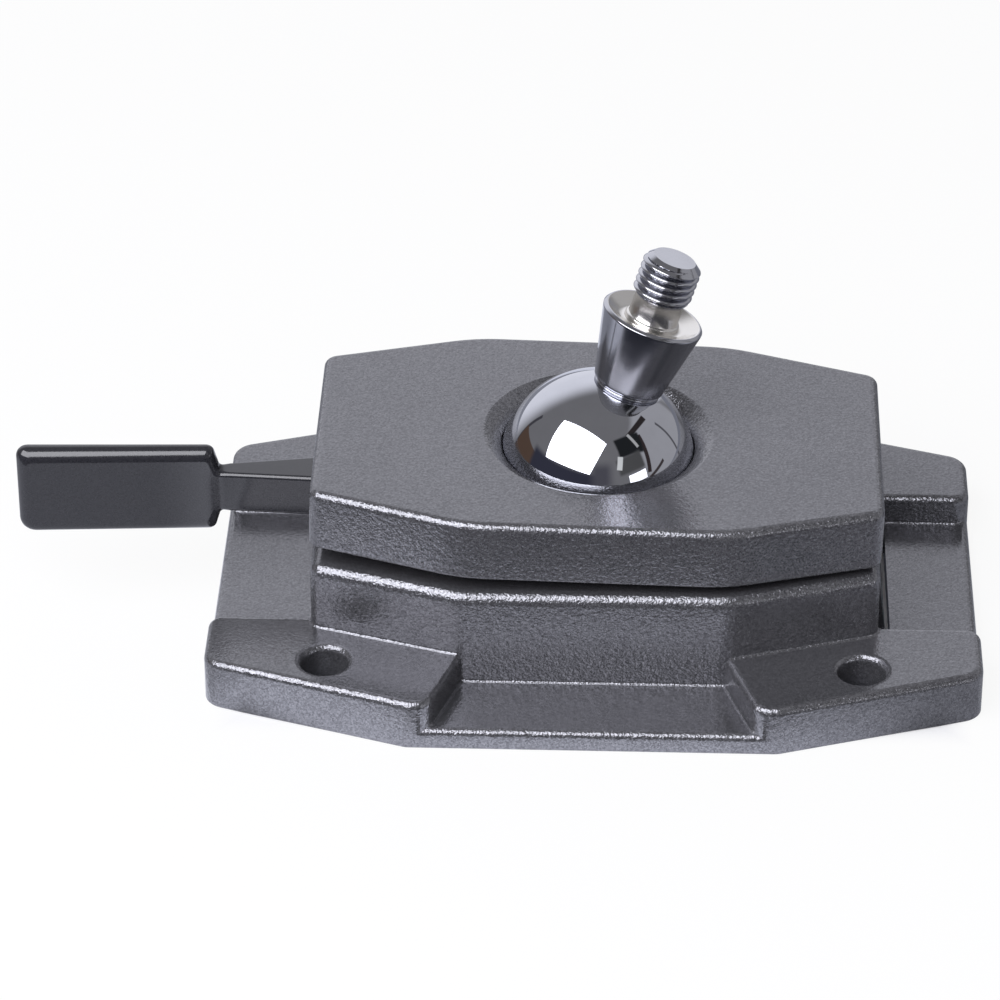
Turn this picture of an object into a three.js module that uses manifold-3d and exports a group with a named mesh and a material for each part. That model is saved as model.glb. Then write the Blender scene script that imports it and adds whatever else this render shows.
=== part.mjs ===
// A ball vise: a cast base with a ball cup, a clamp plate hooked over a hinge pin at its right end,
// and a flat lever at its left end whose screw pulls the plate down on a chromed ball.
// Millimetres, +Z up, front towards -Y. The origin is the middle of the base's underside.

import * as THREE from 'three';
import { mergeVertices } from 'three/addons/utils/BufferGeometryUtils.js';
import Module from 'manifold-3d';

const wasm = await Module();
wasm.setup();

// Base casting
const base_length = 154.8;
const base_width = 107;
const base_end_width = 80.2;
const base_flat_length = 73.2;
const base_corner_radius = 5;
const lug_height = 10.5;
const floor_height = 4.2;
const end_recess_width = 47.2;
const front_recess_inner_width = 52.4;
const front_recess_outer_width = 64.2;
const cast_edge_radius = 1.6;
const mounting_hole_diameter = 9.2;
const mounting_hole_spacing_x = 106.4;
const mounting_hole_side_share = 0.5386;
const hole_edge_radius = 0.9;

// Raised body of the base
const body_length = 113.6;
const body_width = 73;
const body_end_width = 54.2;
const body_flat_length = 53.3;
const body_height = 24.9;
const body_corner_radius = 3;
const body_wall = 5;
const body_skin = 7.9;
const rib_thickness = 4;
const rib_lift = 5;
const foot_radius = 8;
const cup_floor_thickness = 3.6;
const cup_wall = 5.6;

// Clamp plate
const plate_length = 113.8;
const plate_width = 71.8;
const plate_end_width = 52.4;
const plate_flat_length = 52.3;
const plate_thickness = 12.8;
const plate_corner_radius = 3;
const plate_edge_radius = 1.7;
const plate_lower_edge_radius = 0.6;
const plate_height_at_centre = 27.6;
const plate_tilt = 0.023;
const opening_radius = 22.9;
const lip_radius = 19.9;
const lip_depth = 2.7;
const lip_land = 0.6;

// Ball, seats and stud
const ball_radius = 20;
const ball_centre_height = 32.4;
const seat_clearance = 0.35;
const upper_seat_wall = 3.6;
const upper_seat_drop = 4.2;
const lower_seat_outer_radius = 18.6;
const lower_seat_height = 6.5;
const lower_seat_base_height = 15;
const seat_spring_thickness = 0.7;
const seat_spring_width = 5.4;
const seat_ledge_width = 7.1;
const cup_flare = 0.7;
const stud_lean = 19.05 * Math.PI / 180;
const stud_lean_direction = 19.4 * Math.PI / 180;
const spigot_radius = 4;
const spigot_length = 15;
const neck_ring_radius = 6.9;
const neck_ring_thickness = 0.8;
const cone_foot_radius = 7.25;
const cone_foot_rounding = 1.4;
const cone_top_radius = 10.4;
const cone_length = 15.2;
const cone_rim_width = 0.9;
const dish_depth = 1.7;
const collar_radius = 5.6;
const collar_height = 1.2;
const relief_radius = 5.1;
const relief_length = 4.6;
const thread_radius = 6;
const thread_length = 8.85;
const thread_chamfer = 1.3;
const lock_screw_length = 6;

// Clamp screw, its nut and the lever
const screw_distance = 39;
const screw_radius = 5;
const screw_head_height = 6.4;
const screw_head_across_flats = 16;
const screw_head_lift = 2;
const screw_fit = 0.4;
const washer_radius = 10.5;
const washer_thickness = 2;
const counterbore_clearance = 1.5;
const screw_boss_radius = 14;
const nut_length = 16;
const nut_width = 18.4;
const nut_flange = 3.8;
const nut_neck_width = 12;
const nut_neck_height = 2.4;
const nut_corner = 1.5;
const stop_pin_radius = 1.5;
const stop_pin_length = 8;
const hub_radius = 11;
const arm_height = 8.6;
const arm_lift = 22.55;
const arm_root_width = 9.9;
const arm_end_width = 4;
const arm_end_distance = 37.4;
const lever_turn = 3 * Math.PI / 180;
const lever_opening_swing = 40 * Math.PI / 180;
const lever_closing_swing = 10 * Math.PI / 180;
const blade_length = 41.5;
const blade_height = 18.4;
const blade_thickness = 4.2;
const blade_lift = 18.5;
const blade_corner_radius = 2.6;
const blade_edge_radius = 1.8;
const shoulder_slant = 2.2;
const grip_skin = 0.8;
const grip_start = 16.5;
const lever_pin_radius = 1.5;
const hub_washer_thickness = 0.5;
const hub_washer_radius = 10.6;

// Lift springs and hinge
const spring_place_x = -30;
const spring_place_y = 21.5;
const spring_radius = 3.2;
const spring_wire_radius = 0.5;
const spring_turns = 6;
const spring_hole_clearance = 0.6;
const spring_hole_depth = 10;
const hinge_distance = 53;
const hinge_height = 7;
const hinge_pin_radius = 3;
const hinge_pin_length = 48;
const claw_width = 35.4;
const claw_inner_reach = 3;
const claw_flare = 2;
const claw_toe_thickness = 2.6;
const claw_side_gap = 0.8;
const slot_gap = 1;

// Clearances
const gap = 0.3;
const overrun = 5;

const round_steps = 32;
const small_round_steps = 18;
const corner_steps = 3;
const edge_steps = 2;
const lip_steps = 5;
const ball_steps = 14;
const pin_steps = 12;
const wire_sides = 5;
const steps_per_turn = 8;
const least_corner_share = 1 / 3;

const full_turn = Math.PI * 2;

// Turns a geometry into a solid that can be joined and cut.
function solidOf(geometry) {
  const bare = geometry.index ? geometry.toNonIndexed() : geometry.clone();
  bare.deleteAttribute('normal');
  bare.deleteAttribute('uv');
  const merged = mergeVertices(bare, 1e-4);
  const mesh = new wasm.Mesh({
    numProp: 3,
    vertProperties: new Float32Array(merged.attributes.position.array),
    triVerts: new Uint32Array(merged.index.array),
  });
  return new wasm.Manifold(mesh);
}

function geometryOf(solid) {
  const mesh = solid.getMesh();
  const geometry = new THREE.BufferGeometry();
  geometry.setAttribute('position', new THREE.BufferAttribute(mesh.vertProperties, 3));
  geometry.setIndex(new THREE.BufferAttribute(mesh.triVerts, 1));
  return geometry;
}

function join(first, ...others) {
  return others.reduce((sum, other) => sum.add(other), first);
}

function cut(first, ...others) {
  return others.reduce((rest, other) => rest.subtract(other), first);
}

// A revolved solid about Z from points [radius, height] that start and end on the axis.
function turned(points, steps = round_steps) {
  const profile = points.map(([radius, height]) => new THREE.Vector2(radius, height));
  return new THREE.LatheGeometry(profile, steps).rotateX(Math.PI / 2);
}

function rod(radius, bottom, top, steps = round_steps) {
  return turned([[0, bottom], [radius, bottom], [radius, top], [0, top]], steps);
}

function ring(inner, outer, bottom, top, steps = round_steps) {
  return turned([[inner, bottom], [outer, bottom], [outer, top], [inner, top], [inner, bottom]], steps);
}

function block(x0, x1, y0, y1, z0, z1) {
  const box = new THREE.BoxGeometry(x1 - x0, y1 - y0, z1 - z0);
  return box.translate((x0 + x1) / 2, (y0 + y1) / 2, (z0 + z1) / 2);
}

// An outline of [x, y] points, raised from one height to another.
function prism(points, bottom, top) {
  const shape = new THREE.Shape(points.map(([x, y]) => new THREE.Vector2(x, y)));
  const body = new THREE.ExtrudeGeometry(shape, { depth: top - bottom, bevelEnabled: false });
  return body.translate(0, 0, bottom);
}

// Moves every edge of a convex anticlockwise outline inwards by the same distance.
function insetOutline(points, inset) {
  const lines = points.map(([x0, y0], i) => {
    const [x1, y1] = points[(i + 1) % points.length];
    const length = Math.hypot(x1 - x0, y1 - y0);
    const normal = [-(y1 - y0) / length, (x1 - x0) / length];
    return { normal, offset: normal[0] * x0 + normal[1] * y0 + inset };
  });
  return lines.map((line, i) => {
    const before = lines[(i + lines.length - 1) % lines.length];
    const det = before.normal[0] * line.normal[1] - before.normal[1] * line.normal[0];
    const x = (before.offset * line.normal[1] - line.offset * before.normal[1]) / det;
    const y = (before.normal[0] * line.offset - line.normal[0] * before.offset) / det;
    return [x, y];
  });
}

// Rounds each corner of a convex anticlockwise outline with an arc of the radius given.
function roundOutline(points, radius, steps = corner_steps) {
  const rounded = [];
  points.forEach(([x, y], i) => {
    const corner = new THREE.Vector2(x, y);
    const before = new THREE.Vector2(...points[(i + points.length - 1) % points.length]);
    const after = new THREE.Vector2(...points[(i + 1) % points.length]);
    const back = before.sub(corner).normalize();
    const ahead = after.sub(corner).normalize();
    const half = Math.acos(THREE.MathUtils.clamp(back.dot(ahead), -1, 1)) / 2;
    const reach = radius / Math.tan(half);
    const centre = back.clone().add(ahead).normalize().multiplyScalar(radius / Math.sin(half));
    const from = back.clone().multiplyScalar(reach).sub(centre);
    const sweep = Math.PI - 2 * half;
    for (let step = 0; step <= steps; step += 1) {
      const spoke = from.clone().rotateAround(new THREE.Vector2(), sweep * step / steps);
      rounded.push([x + centre.x + spoke.x, y + centre.y + spoke.y]);
    }
  });
  return rounded;
}

// Stacks one outline at several levels [height, inset] into a closed body.
function stacked(outline, levels, cornerRadius) {
  const rings = levels.map(([height, inset]) => {
    const radius = Math.max(cornerRadius - inset, cornerRadius * least_corner_share);
    const flat = roundOutline(insetOutline(outline, inset), radius);
    return flat.map(([x, y]) => [x, y, height]);
  });
  const count = rings[0].length;
  const positions = rings.flat(2);
  const index = [];
  for (let level = 0; level + 1 < rings.length; level += 1) {
    for (let i = 0; i < count; i += 1) {
      const a = level * count + i;
      const b = level * count + (i + 1) % count;
      index.push(a, b, b + count, a, b + count, a + count);
    }
  }
  const shape = rings[0].map(([x, y]) => new THREE.Vector2(x, y));
  const top = (rings.length - 1) * count;
  THREE.ShapeUtils.triangulateShape(shape, []).forEach(([a, b, c]) => {
    index.push(c, b, a);
    index.push(top + a, top + b, top + c);
  });
  const geometry = new THREE.BufferGeometry();
  geometry.setAttribute('position', new THREE.Float32BufferAttribute(positions, 3));
  geometry.setIndex(index);
  return geometry;
}

// Levels that give a stack a rounded lower edge and a rounded upper edge.
function roundedLevels(bottom, top, lowerRadius, upperRadius) {
  const quarter = Math.PI / 2;
  const levels = [];
  for (let step = 0; step <= edge_steps && lowerRadius > 0; step += 1) {
    const turn = quarter * step / edge_steps;
    const height = bottom + lowerRadius * (1 - Math.sin(turn));
    levels.unshift([height, lowerRadius * (1 - Math.cos(turn))]);
  }
  if (lowerRadius === 0) levels.push([bottom, 0]);
  for (let step = 0; step <= edge_steps; step += 1) {
    const turn = quarter * step / edge_steps;
    levels.push([top - upperRadius * (1 - Math.sin(turn)), upperRadius * (1 - Math.cos(turn))]);
  }
  return levels;
}

// A long octagon: flat ends, flat front and back, and four slanting corners.
function octagon(length, width, endWidth, flatLength) {
  const [x, y, ex, fy] = [length / 2, width / 2, flatLength / 2, endWidth / 2];
  return [[x, -fy], [x, fy], [ex, y], [-ex, y], [-x, fy], [-x, -fy], [-ex, -y], [ex, -y]];
}

// Points [radius, height] of a zone of a sphere on the axis, from one height to another.
function sphereZone(radius, centre, from, to, steps) {
  const start = Math.asin((from - centre) / radius);
  const end = Math.asin((to - centre) / radius);
  return Array.from({ length: steps + 1 }, (_, i) => {
    const angle = start + (end - start) * i / steps;
    return [radius * Math.cos(angle), centre + radius * Math.sin(angle)];
  });
}

// Places worked out from the sizes above
const cup_radius = lower_seat_outer_radius + gap;
const seat_spring_height = lower_seat_base_height - gap - seat_spring_thickness;
const seat_ledge_height = seat_spring_height - gap;
const cup_inner_radius = cup_radius - seat_ledge_width;
const cup_floor_height = ball_centre_height - ball_radius - 2 * gap;
const washer_height = screw_head_lift + screw_head_height + gap;
const screw_boss_height = washer_height + washer_thickness + gap;
const pocket_floor_height = arm_lift - hub_washer_thickness - 2 * gap;
const pocket_ceiling_height = arm_lift + arm_height + 3 * gap;
const plate_bottom_at_screw = plate_height_at_centre + plate_tilt * screw_distance;
const pocket_ceiling_local = pocket_ceiling_height - plate_bottom_at_screw;
const nut_neck_bottom = pocket_ceiling_local + gap;
const nut_flange_bottom = nut_neck_bottom + nut_neck_height;
const nut_flange_top = nut_flange_bottom + nut_flange;
const screw_top = plate_bottom_at_screw + nut_flange_top - gap;
const spring_hole_radius = spring_radius + spring_wire_radius + spring_hole_clearance;
const spring_seat_height = body_height - spring_hole_depth;
const cavity_top = body_height - body_skin;
const pin_bore_radius = hinge_pin_radius + gap;
const claw_bottom = hinge_height - pin_bore_radius - claw_toe_thickness;
const claw_inner_x = hinge_distance - claw_inner_reach;
const claw_outer_x = body_length / 2 + claw_flare;
const slot_inner_x = claw_inner_x - claw_side_gap;
const slot_outer_x = claw_outer_x + slot_gap;
const slot_half_width = claw_width / 2 + claw_side_gap;

// Shape of the lever seen from above, pointing to -X from its screw, with some margin all round.
function armOutline(margin, reach) {
  const root = arm_root_width / 2 + margin;
  const slope = (arm_root_width - arm_end_width) / 2 / (arm_end_distance - hub_radius);
  const end = root - slope * (reach - hub_radius);
  return [[0, -root], [0, root], [-hub_radius, root], [-reach, end], [-reach, -end], [-hub_radius, -root]];
}

function aboutScrew(geometry, turn) {
  return geometry.rotateZ(turn).translate(-screw_distance, 0, 0);
}

// The space that the lever sweeps between its open and its tightest place.
function leverSweep(bottom, top, margin) {
  const reach = body_length / 2 - screw_distance + overrun * 2;
  const stops = 5;
  const first = lever_turn - lever_opening_swing;
  const swing = lever_opening_swing + lever_closing_swing;
  let sweep = solidOf(aboutScrew(rod(hub_radius + margin, bottom, top), 0));
  for (let i = 0; i <= stops; i += 1) {
    const arm = prism(armOutline(margin, reach), bottom, top);
    sweep = sweep.add(solidOf(aboutScrew(arm, first + swing * i / stops)));
  }
  const wedge = [[0, 0]];
  for (let i = stops; i >= 0; i -= 1) {
    const angle = Math.PI + first + swing * i / stops;
    wedge.push([reach * Math.cos(angle), reach * Math.sin(angle)]);
  }
  return sweep.add(solidOf(aboutScrew(prism(wedge.reverse(), bottom, top), 0)));
}

function baseOutline() {
  return octagon(base_length, base_width, base_end_width, base_flat_length);
}

function bodyOutline() {
  return octagon(body_length, body_width, body_end_width, body_flat_length);
}

// The four raised lugs, with the recesses between them left out.
function lugs() {
  const levels = roundedLevels(0, lug_height, 0, cast_edge_radius);
  const slab = solidOf(stacked(baseOutline(), levels, base_corner_radius));
  const [top, far] = [lug_height + overrun, base_width / 2 + overrun];
  const slant = (front_recess_outer_width - front_recess_inner_width) / (base_width - body_width);
  const near = body_width / 2 - overrun;
  const inner = front_recess_inner_width / 2 - slant * overrun;
  const outer = front_recess_outer_width / 2 + slant * overrun;
  const front = [[-inner, -near], [-outer, -far], [outer, -far], [inner, -near]];
  const rear = front.map(([x, y]) => [x, -y]).reverse();
  const end = base_length / 2 + overrun;
  return cut(
    slab,
    solidOf(prism(front, -overrun, top)),
    solidOf(prism(rear, -overrun, top)),
    solidOf(block(-end, end, -end_recess_width / 2, end_recess_width / 2, -overrun, top)),
  );
}

// Half the width of a long octagon at a distance from its middle, past its flat stretch.
function halfWidthAt(x, length, width, endWidth, flatLength) {
  const share = Math.max(0, (x - flatLength / 2) / (length / 2 - flatLength / 2));
  return (width - (width - endWidth) * share) / 2;
}

// The bolt holes lie on the lugs, between the body's side and the base's side.
function mountingPlaces() {
  const x = mounting_hole_spacing_x / 2;
  const inner = halfWidthAt(x, body_length, body_width, body_end_width, body_flat_length);
  const outer = halfWidthAt(x, base_length, base_width, base_end_width, base_flat_length);
  const y = inner + (outer - inner) * mounting_hole_side_share;
  return [[-x, -y], [x, -y], [-x, y], [x, y]];
}

// A through hole whose upper edge is softened, as on a painted casting.
function mountingHole(x, y) {
  const radius = mounting_hole_diameter / 2;
  const wide = radius + hole_edge_radius;
  const low = lug_height - hole_edge_radius;
  const profile = [[0, -overrun], [radius, -overrun], [radius, low]];
  for (let step = 1; step <= edge_steps; step += 1) {
    const turn = Math.PI / 2 * step / edge_steps;
    const out = wide - hole_edge_radius * Math.cos(turn);
    profile.push([out, low + hole_edge_radius * Math.sin(turn)]);
  }
  profile.push([wide, lug_height + overrun], [0, lug_height + overrun]);
  return solidOf(turned(profile, small_round_steps).translate(x, y, 0));
}

// The hollow under the body, less the bosses and ribs that stay in it.
function underside() {
  const hollow = insetOutline(bodyOutline(), body_wall);
  const limit = slot_inner_x - body_wall;
  const cavity = cut(
    solidOf(prism(hollow, -overrun, cavity_top)),
    solidOf(block(limit, body_length, -body_width, body_width, -overrun * 2, body_height)),
  );
  const cup = rod(cup_radius + cup_wall, cup_floor_height - cup_floor_thickness, body_height);
  const foot = rod(foot_radius, -overrun * 2, body_height, small_round_steps);
  const screw_boss = aboutScrew(rod(screw_boss_radius, screw_boss_height, body_height), 0);
  const spring_boss_radius = spring_hole_radius + rib_thickness / 2;
  const spring_bosses = [-spring_place_y, spring_place_y].map((y) => {
    const bottom = spring_seat_height - rib_thickness;
    const boss = rod(spring_boss_radius, bottom, body_height, small_round_steps);
    return solidOf(boss.translate(spring_place_x, y, 0));
  });
  const half = rib_thickness / 2;
  const lengthwise = block(foot_radius / 2, body_length, -half, half, rib_lift, body_height);
  const crosswise = block(-half, half, -body_width, body_width, rib_lift, body_height);
  const left_side = block(-body_length, -foot_radius / 2, -half, half, screw_boss_height, body_height);
  return cut(
    cavity,
    solidOf(cup),
    solidOf(foot),
    solidOf(screw_boss),
    ...spring_bosses,
    solidOf(lengthwise),
    solidOf(crosswise),
    solidOf(left_side),
  );
}

// The stepped bore that holds the lower seat, its spring and the ball.
function cupBore() {
  return turned([
    [0, cup_floor_height],
    [cup_inner_radius, cup_floor_height],
    [cup_inner_radius, seat_ledge_height],
    [cup_radius, seat_ledge_height],
    [cup_radius, body_height - 2 * cup_flare],
    [cup_radius + cup_flare, body_height],
    [cup_radius + cup_flare, body_height + overrun],
    [0, body_height + overrun],
  ]);
}

// Two half-round grooves, open downwards, that the hinge pin is pulled up into.
function hingeGrooves() {
  const half = hinge_pin_length / 2 + gap;
  const bore = rod(pin_bore_radius, -half, half, small_round_steps).rotateX(Math.PI / 2);
  const [x0, x1] = [hinge_distance - pin_bore_radius, hinge_distance + pin_bore_radius];
  return join(
    solidOf(bore.translate(hinge_distance, 0, hinge_height)),
    solidOf(block(x0, x1, -half, half, -overrun, hinge_height)),
  );
}

function baseCasting() {
  const floor_levels = roundedLevels(0, floor_height, 0, cast_edge_radius);
  const body_levels = roundedLevels(0, body_height, 0, cast_edge_radius);
  const casting = join(
    solidOf(stacked(baseOutline(), floor_levels, base_corner_radius)),
    lugs(),
    solidOf(stacked(bodyOutline(), body_levels, body_corner_radius)),
  );
  const claw_channel = block(slot_inner_x, slot_outer_x, -slot_half_width, slot_half_width,
    -overrun, body_height + overrun);
  const screw_hole = rod(screw_radius + screw_fit, -overrun, body_height + overrun, small_round_steps);
  const screw_bore = aboutScrew(screw_hole, 0);
  const head_radius = washer_radius + counterbore_clearance;
  const head_bore = aboutScrew(rod(head_radius, -overrun, screw_boss_height), 0);
  const spring_holes = [-spring_place_y, spring_place_y].map((y) => {
    const hole = rod(spring_hole_radius, spring_seat_height, body_height + overrun, small_round_steps);
    return solidOf(hole.translate(spring_place_x, y, 0));
  });
  return cut(
    casting,
    underside(),
    solidOf(cupBore()),
    solidOf(claw_channel),
    solidOf(screw_bore),
    solidOf(head_bore),
    hingeGrooves(),
    leverSweep(pocket_floor_height, body_height + overrun, gap * 2),
    ...mountingPlaces().map(([x, y]) => mountingHole(x, y)),
    ...spring_holes,
  );
}

// A point of the upright frame, seen from the tilted plate's own frame.
function onPlate(x, z) {
  const [dx, dz] = [x, z - plate_height_at_centre];
  const [c, s] = [Math.cos(plate_tilt), Math.sin(plate_tilt)];
  return [dx * c - dz * s, dx * s + dz * c];
}

// The claw that hangs from the plate's right end and hooks under the hinge pin.
function claw() {
  const [pin_x, pin_z] = onPlate(hinge_distance, hinge_height);
  const [inner_x, bottom] = onPlate(claw_inner_x, claw_bottom);
  const [outer_x] = onPlate(claw_outer_x, floor_height);
  const shoulder = plate_length / 2 - plate_edge_radius;
  const chamfer = claw_toe_thickness / 2;
  const side = [
    [inner_x, bottom],
    [outer_x - chamfer, bottom],
    [outer_x, bottom + chamfer],
    [outer_x, bottom + claw_toe_thickness],
    [shoulder, plate_thickness / 2],
    [inner_x, plate_thickness / 2],
  ];
  const hook = prism(side, -claw_width / 2, claw_width / 2).rotateX(Math.PI / 2);
  const mouth = block(inner_x - overrun, pin_x, -claw_width, claw_width,
    pin_z - pin_bore_radius, pin_z + pin_bore_radius);
  const bore = rod(pin_bore_radius, -claw_width, claw_width, small_round_steps).rotateX(Math.PI / 2);
  return cut(solidOf(hook), solidOf(mouth), solidOf(bore.translate(pin_x, 0, pin_z)));
}

// The plate's opening from above: a rounded lip, a short land, then the counterbore for its seat.
function plateBore() {
  const [, centre] = onPlate(0, ball_centre_height);
  const lip_bottom = plate_thickness - lip_depth - lip_land;
  const seat_bore = lip_radius + upper_seat_wall + gap;
  const profile = [
    [0, centre - overrun * 3],
    [seat_bore, centre - overrun * 3],
    [seat_bore, lip_bottom],
    [lip_radius, lip_bottom],
    [lip_radius, plate_thickness - lip_depth],
  ];
  for (let step = 1; step <= lip_steps; step += 1) {
    const turn = Math.PI / 2 * step / lip_steps;
    const out = opening_radius - (opening_radius - lip_radius) * Math.cos(turn);
    profile.push([out, plate_thickness - lip_depth * (1 - Math.sin(turn))]);
  }
  profile.push([opening_radius, plate_thickness + overrun], [0, plate_thickness + overrun]);
  const [bore_x] = onPlate(0, ball_centre_height);
  return solidOf(turned(profile, lip_steps * 8).translate(bore_x, 0, 0));
}

// The T-shaped slot that takes the clamp nut, open at the plate's left end.
function nutSlot() {
  const [screw_x] = onPlate(-screw_distance, plate_bottom_at_screw);
  const right = screw_x + nut_length / 2 + gap;
  const neck = nut_neck_width / 2 + gap;
  const wide = nut_width / 2 + gap;
  const low = nut_flange_bottom - gap;
  return join(
    solidOf(block(-plate_length, right, -neck, neck, 0, low + gap)),
    solidOf(block(-plate_length, right, -wide, wide, low, nut_flange_top + gap)),
  );
}

function stopPinPlace() {
  const [screw_x] = onPlate(-screw_distance, plate_bottom_at_screw);
  return screw_x - nut_length / 2 - stop_pin_radius - 2 * gap;
}

function clampPlate() {
  const outline = octagon(plate_length, plate_width, plate_end_width, plate_flat_length);
  const levels = roundedLevels(0, plate_thickness, plate_lower_edge_radius, plate_edge_radius);
  const plate = solidOf(stacked(outline, levels, plate_corner_radius));
  const pin_end = pocket_ceiling_local + stop_pin_length + gap;
  const pin_hole = rod(stop_pin_radius + gap, -overrun, pin_end, small_round_steps);
  return cut(
    join(plate, claw()),
    plateBore(),
    leverSweep(-overrun, pocket_ceiling_local, gap * 2),
    nutSlot(),
    solidOf(pin_hole.translate(stopPinPlace(), 0, 0)),
  );
}

// The ring in the plate whose hollow zone bears on the ball above its middle.
function upperSeatRing() {
  const [bore_x, centre] = onPlate(0, ball_centre_height);
  const top = plate_thickness - lip_depth - lip_land - gap;
  const bottom = centre - upper_seat_drop;
  const hollow = sphereZone(ball_radius + seat_clearance, centre, top, centre, edge_steps);
  const inner = ball_radius + seat_clearance;
  const outer = lip_radius + upper_seat_wall;
  const profile = [[outer, top], ...hollow, [inner, bottom], [outer, bottom], [outer, top]];
  return turned(profile).translate(bore_x, 0, 0);
}

function lowerSeat() {
  const [bottom, top] = [lower_seat_base_height, lower_seat_base_height + lower_seat_height];
  const radius = ball_radius + seat_clearance;
  const hollow = sphereZone(radius, ball_centre_height, bottom, top, edge_steps * 2);
  const outer = lower_seat_outer_radius;
  return turned([...hollow, [outer, top], [outer, bottom], hollow[0]].reverse());
}

function seatSpring() {
  const outer = cup_radius - 2 * gap;
  const top = seat_spring_height + seat_spring_thickness;
  return ring(outer - seat_spring_width, outer, seat_spring_height, top);
}

// The ball and stud are drawn upright about the ball's centre and leaned together later.
const ring_flat = Math.sqrt(ball_radius ** 2 - neck_ring_radius ** 2);
const ring_bottom = ring_flat + gap;
const cone_foot = ring_bottom + neck_ring_thickness + gap;
const cone_top = cone_foot + cone_length;
const thread_start = cone_top - dish_depth + relief_length + collar_height;
const thread_end = thread_start + thread_length;
const spigot_bottom = cone_foot - spigot_length;

function ball() {
  const from = -Math.PI / 2;
  const zone = Array.from({ length: ball_steps + 1 }, (_, i) => {
    const angle = from + (Math.asin(ring_flat / ball_radius) - from) * i / ball_steps;
    return [ball_radius * Math.cos(angle), ball_radius * Math.sin(angle)];
  });
  zone[0][0] = 0;
  const body = solidOf(turned([...zone, [0, ring_flat]]));
  const bore = rod(spigot_radius + gap, -ball_radius - overrun, ball_radius + overrun, small_round_steps);
  return cut(body, solidOf(bore));
}

function neckRing() {
  const top = ring_bottom + neck_ring_thickness;
  return ring(spigot_radius + gap, neck_ring_radius, ring_bottom, top, small_round_steps);
}

function ballStud() {
  const foot = cone_foot_radius - cone_foot_rounding;
  const dish = cone_top - dish_depth;
  const thread_crest = thread_end - thread_chamfer;
  return turned([
    [0, spigot_bottom],
    [spigot_radius, spigot_bottom],
    [spigot_radius, cone_foot],
    [foot, cone_foot],
    [foot + cone_foot_rounding * Math.SQRT1_2, cone_foot + cone_foot_rounding * (1 - Math.SQRT1_2)],
    [cone_foot_radius, cone_foot + cone_foot_rounding],
    [cone_top_radius, cone_top - cone_rim_width],
    [cone_top_radius - cone_rim_width / 2, cone_top],
    [cone_top_radius - cone_rim_width, cone_top],
    [collar_radius, dish],
    [collar_radius, dish + collar_height],
    [relief_radius, dish + collar_height],
    [relief_radius, thread_start],
    [thread_radius, thread_start + thread_radius - relief_radius],
    [thread_radius, thread_crest],
    [thread_radius - thread_chamfer, thread_end],
    [0, thread_end],
  ]);
}

function lockScrew() {
  const top = spigot_bottom - gap;
  return rod(spigot_radius, top - lock_screw_length, top, small_round_steps);
}

// The clamp screw: a six-sided head below, a plain shank, and its thread in the nut above.
function clampScrew() {
  const head_radius = screw_head_across_flats / Math.sqrt(3);
  const head_top = screw_head_lift + screw_head_height;
  const head = rod(head_radius, screw_head_lift, head_top, 6);
  const shank = turned([
    [0, screw_head_lift + screw_head_height / 2],
    [screw_radius, screw_head_lift + screw_head_height / 2],
    [screw_radius, screw_top - thread_chamfer / 2],
    [screw_radius - thread_chamfer / 2, screw_top],
    [0, screw_top],
  ], small_round_steps);
  const cross_hole = rod(lever_pin_radius + gap, -hub_radius, hub_radius, pin_steps);
  const level = arm_lift + arm_height / 2;
  return cut(
    join(solidOf(head), solidOf(shank)),
    solidOf(cross_hole.rotateX(Math.PI / 2).translate(0, 0, level)),
  );
}

function clampNut() {
  const outline = octagon(nut_length, nut_width, nut_width - 2 * nut_corner, nut_length - 2 * nut_corner);
  const flange = prism(outline, nut_flange_bottom, nut_flange_top);
  const neck = block(-nut_length / 2, nut_length / 2, -nut_neck_width / 2, nut_neck_width / 2,
    nut_neck_bottom, nut_flange_bottom + gap);
  const bore = rod(screw_radius + screw_fit, -overrun, plate_thickness + overrun, small_round_steps);
  const [screw_x] = onPlate(-screw_distance, plate_bottom_at_screw + nut_flange_bottom);
  return cut(join(solidOf(flange), solidOf(neck)), solidOf(bore)).translate([screw_x, 0, 0]);
}

// Side outline of the grip's blade, with slanted shoulders above and below the arm.
function bladeOutline() {
  const [near, far] = [arm_end_distance, arm_end_distance + blade_length];
  const [low, high] = [blade_lift, blade_lift + blade_height];
  return [[-far, low], [-near - shoulder_slant, low], [-near, arm_lift],
    [-near, arm_lift + arm_height], [-near - shoulder_slant, high], [-far, high]];
}

// What lies inside the dipped skin at the depth given: the neck of the arm and the flat blade.
function insideGrip(depth) {
  const reach = arm_end_distance + shoulder_slant + blade_corner_radius;
  const neck = prism(armOutline(-depth, reach), arm_lift + depth, arm_lift + arm_height - depth);
  const outline = roundOutline(insetOutline(bladeOutline(), depth), blade_corner_radius / 2);
  const half = blade_thickness / 2 - depth;
  const blade = prism(outline, -half, half).rotateX(Math.PI / 2);
  return join(solidOf(neck), solidOf(blade));
}

// The flat steel lever: a hub on the screw, a tapering arm and a blade that the grip covers.
function leverArm() {
  const top = arm_lift + arm_height;
  const root = prism(armOutline(0, grip_start - gap), arm_lift, top);
  const hub = rod(hub_radius, arm_lift, top);
  const bore = rod(screw_radius + gap, -overrun, body_height * 2, small_round_steps);
  const cross_hole = rod(lever_pin_radius + gap, -hub_radius * 2, hub_radius * 2, pin_steps);
  return cut(
    join(solidOf(root), solidOf(hub), insideGrip(grip_skin + gap)),
    solidOf(bore),
    solidOf(cross_hole.rotateX(Math.PI / 2).translate(0, 0, arm_lift + arm_height / 2)),
  );
}

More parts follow.
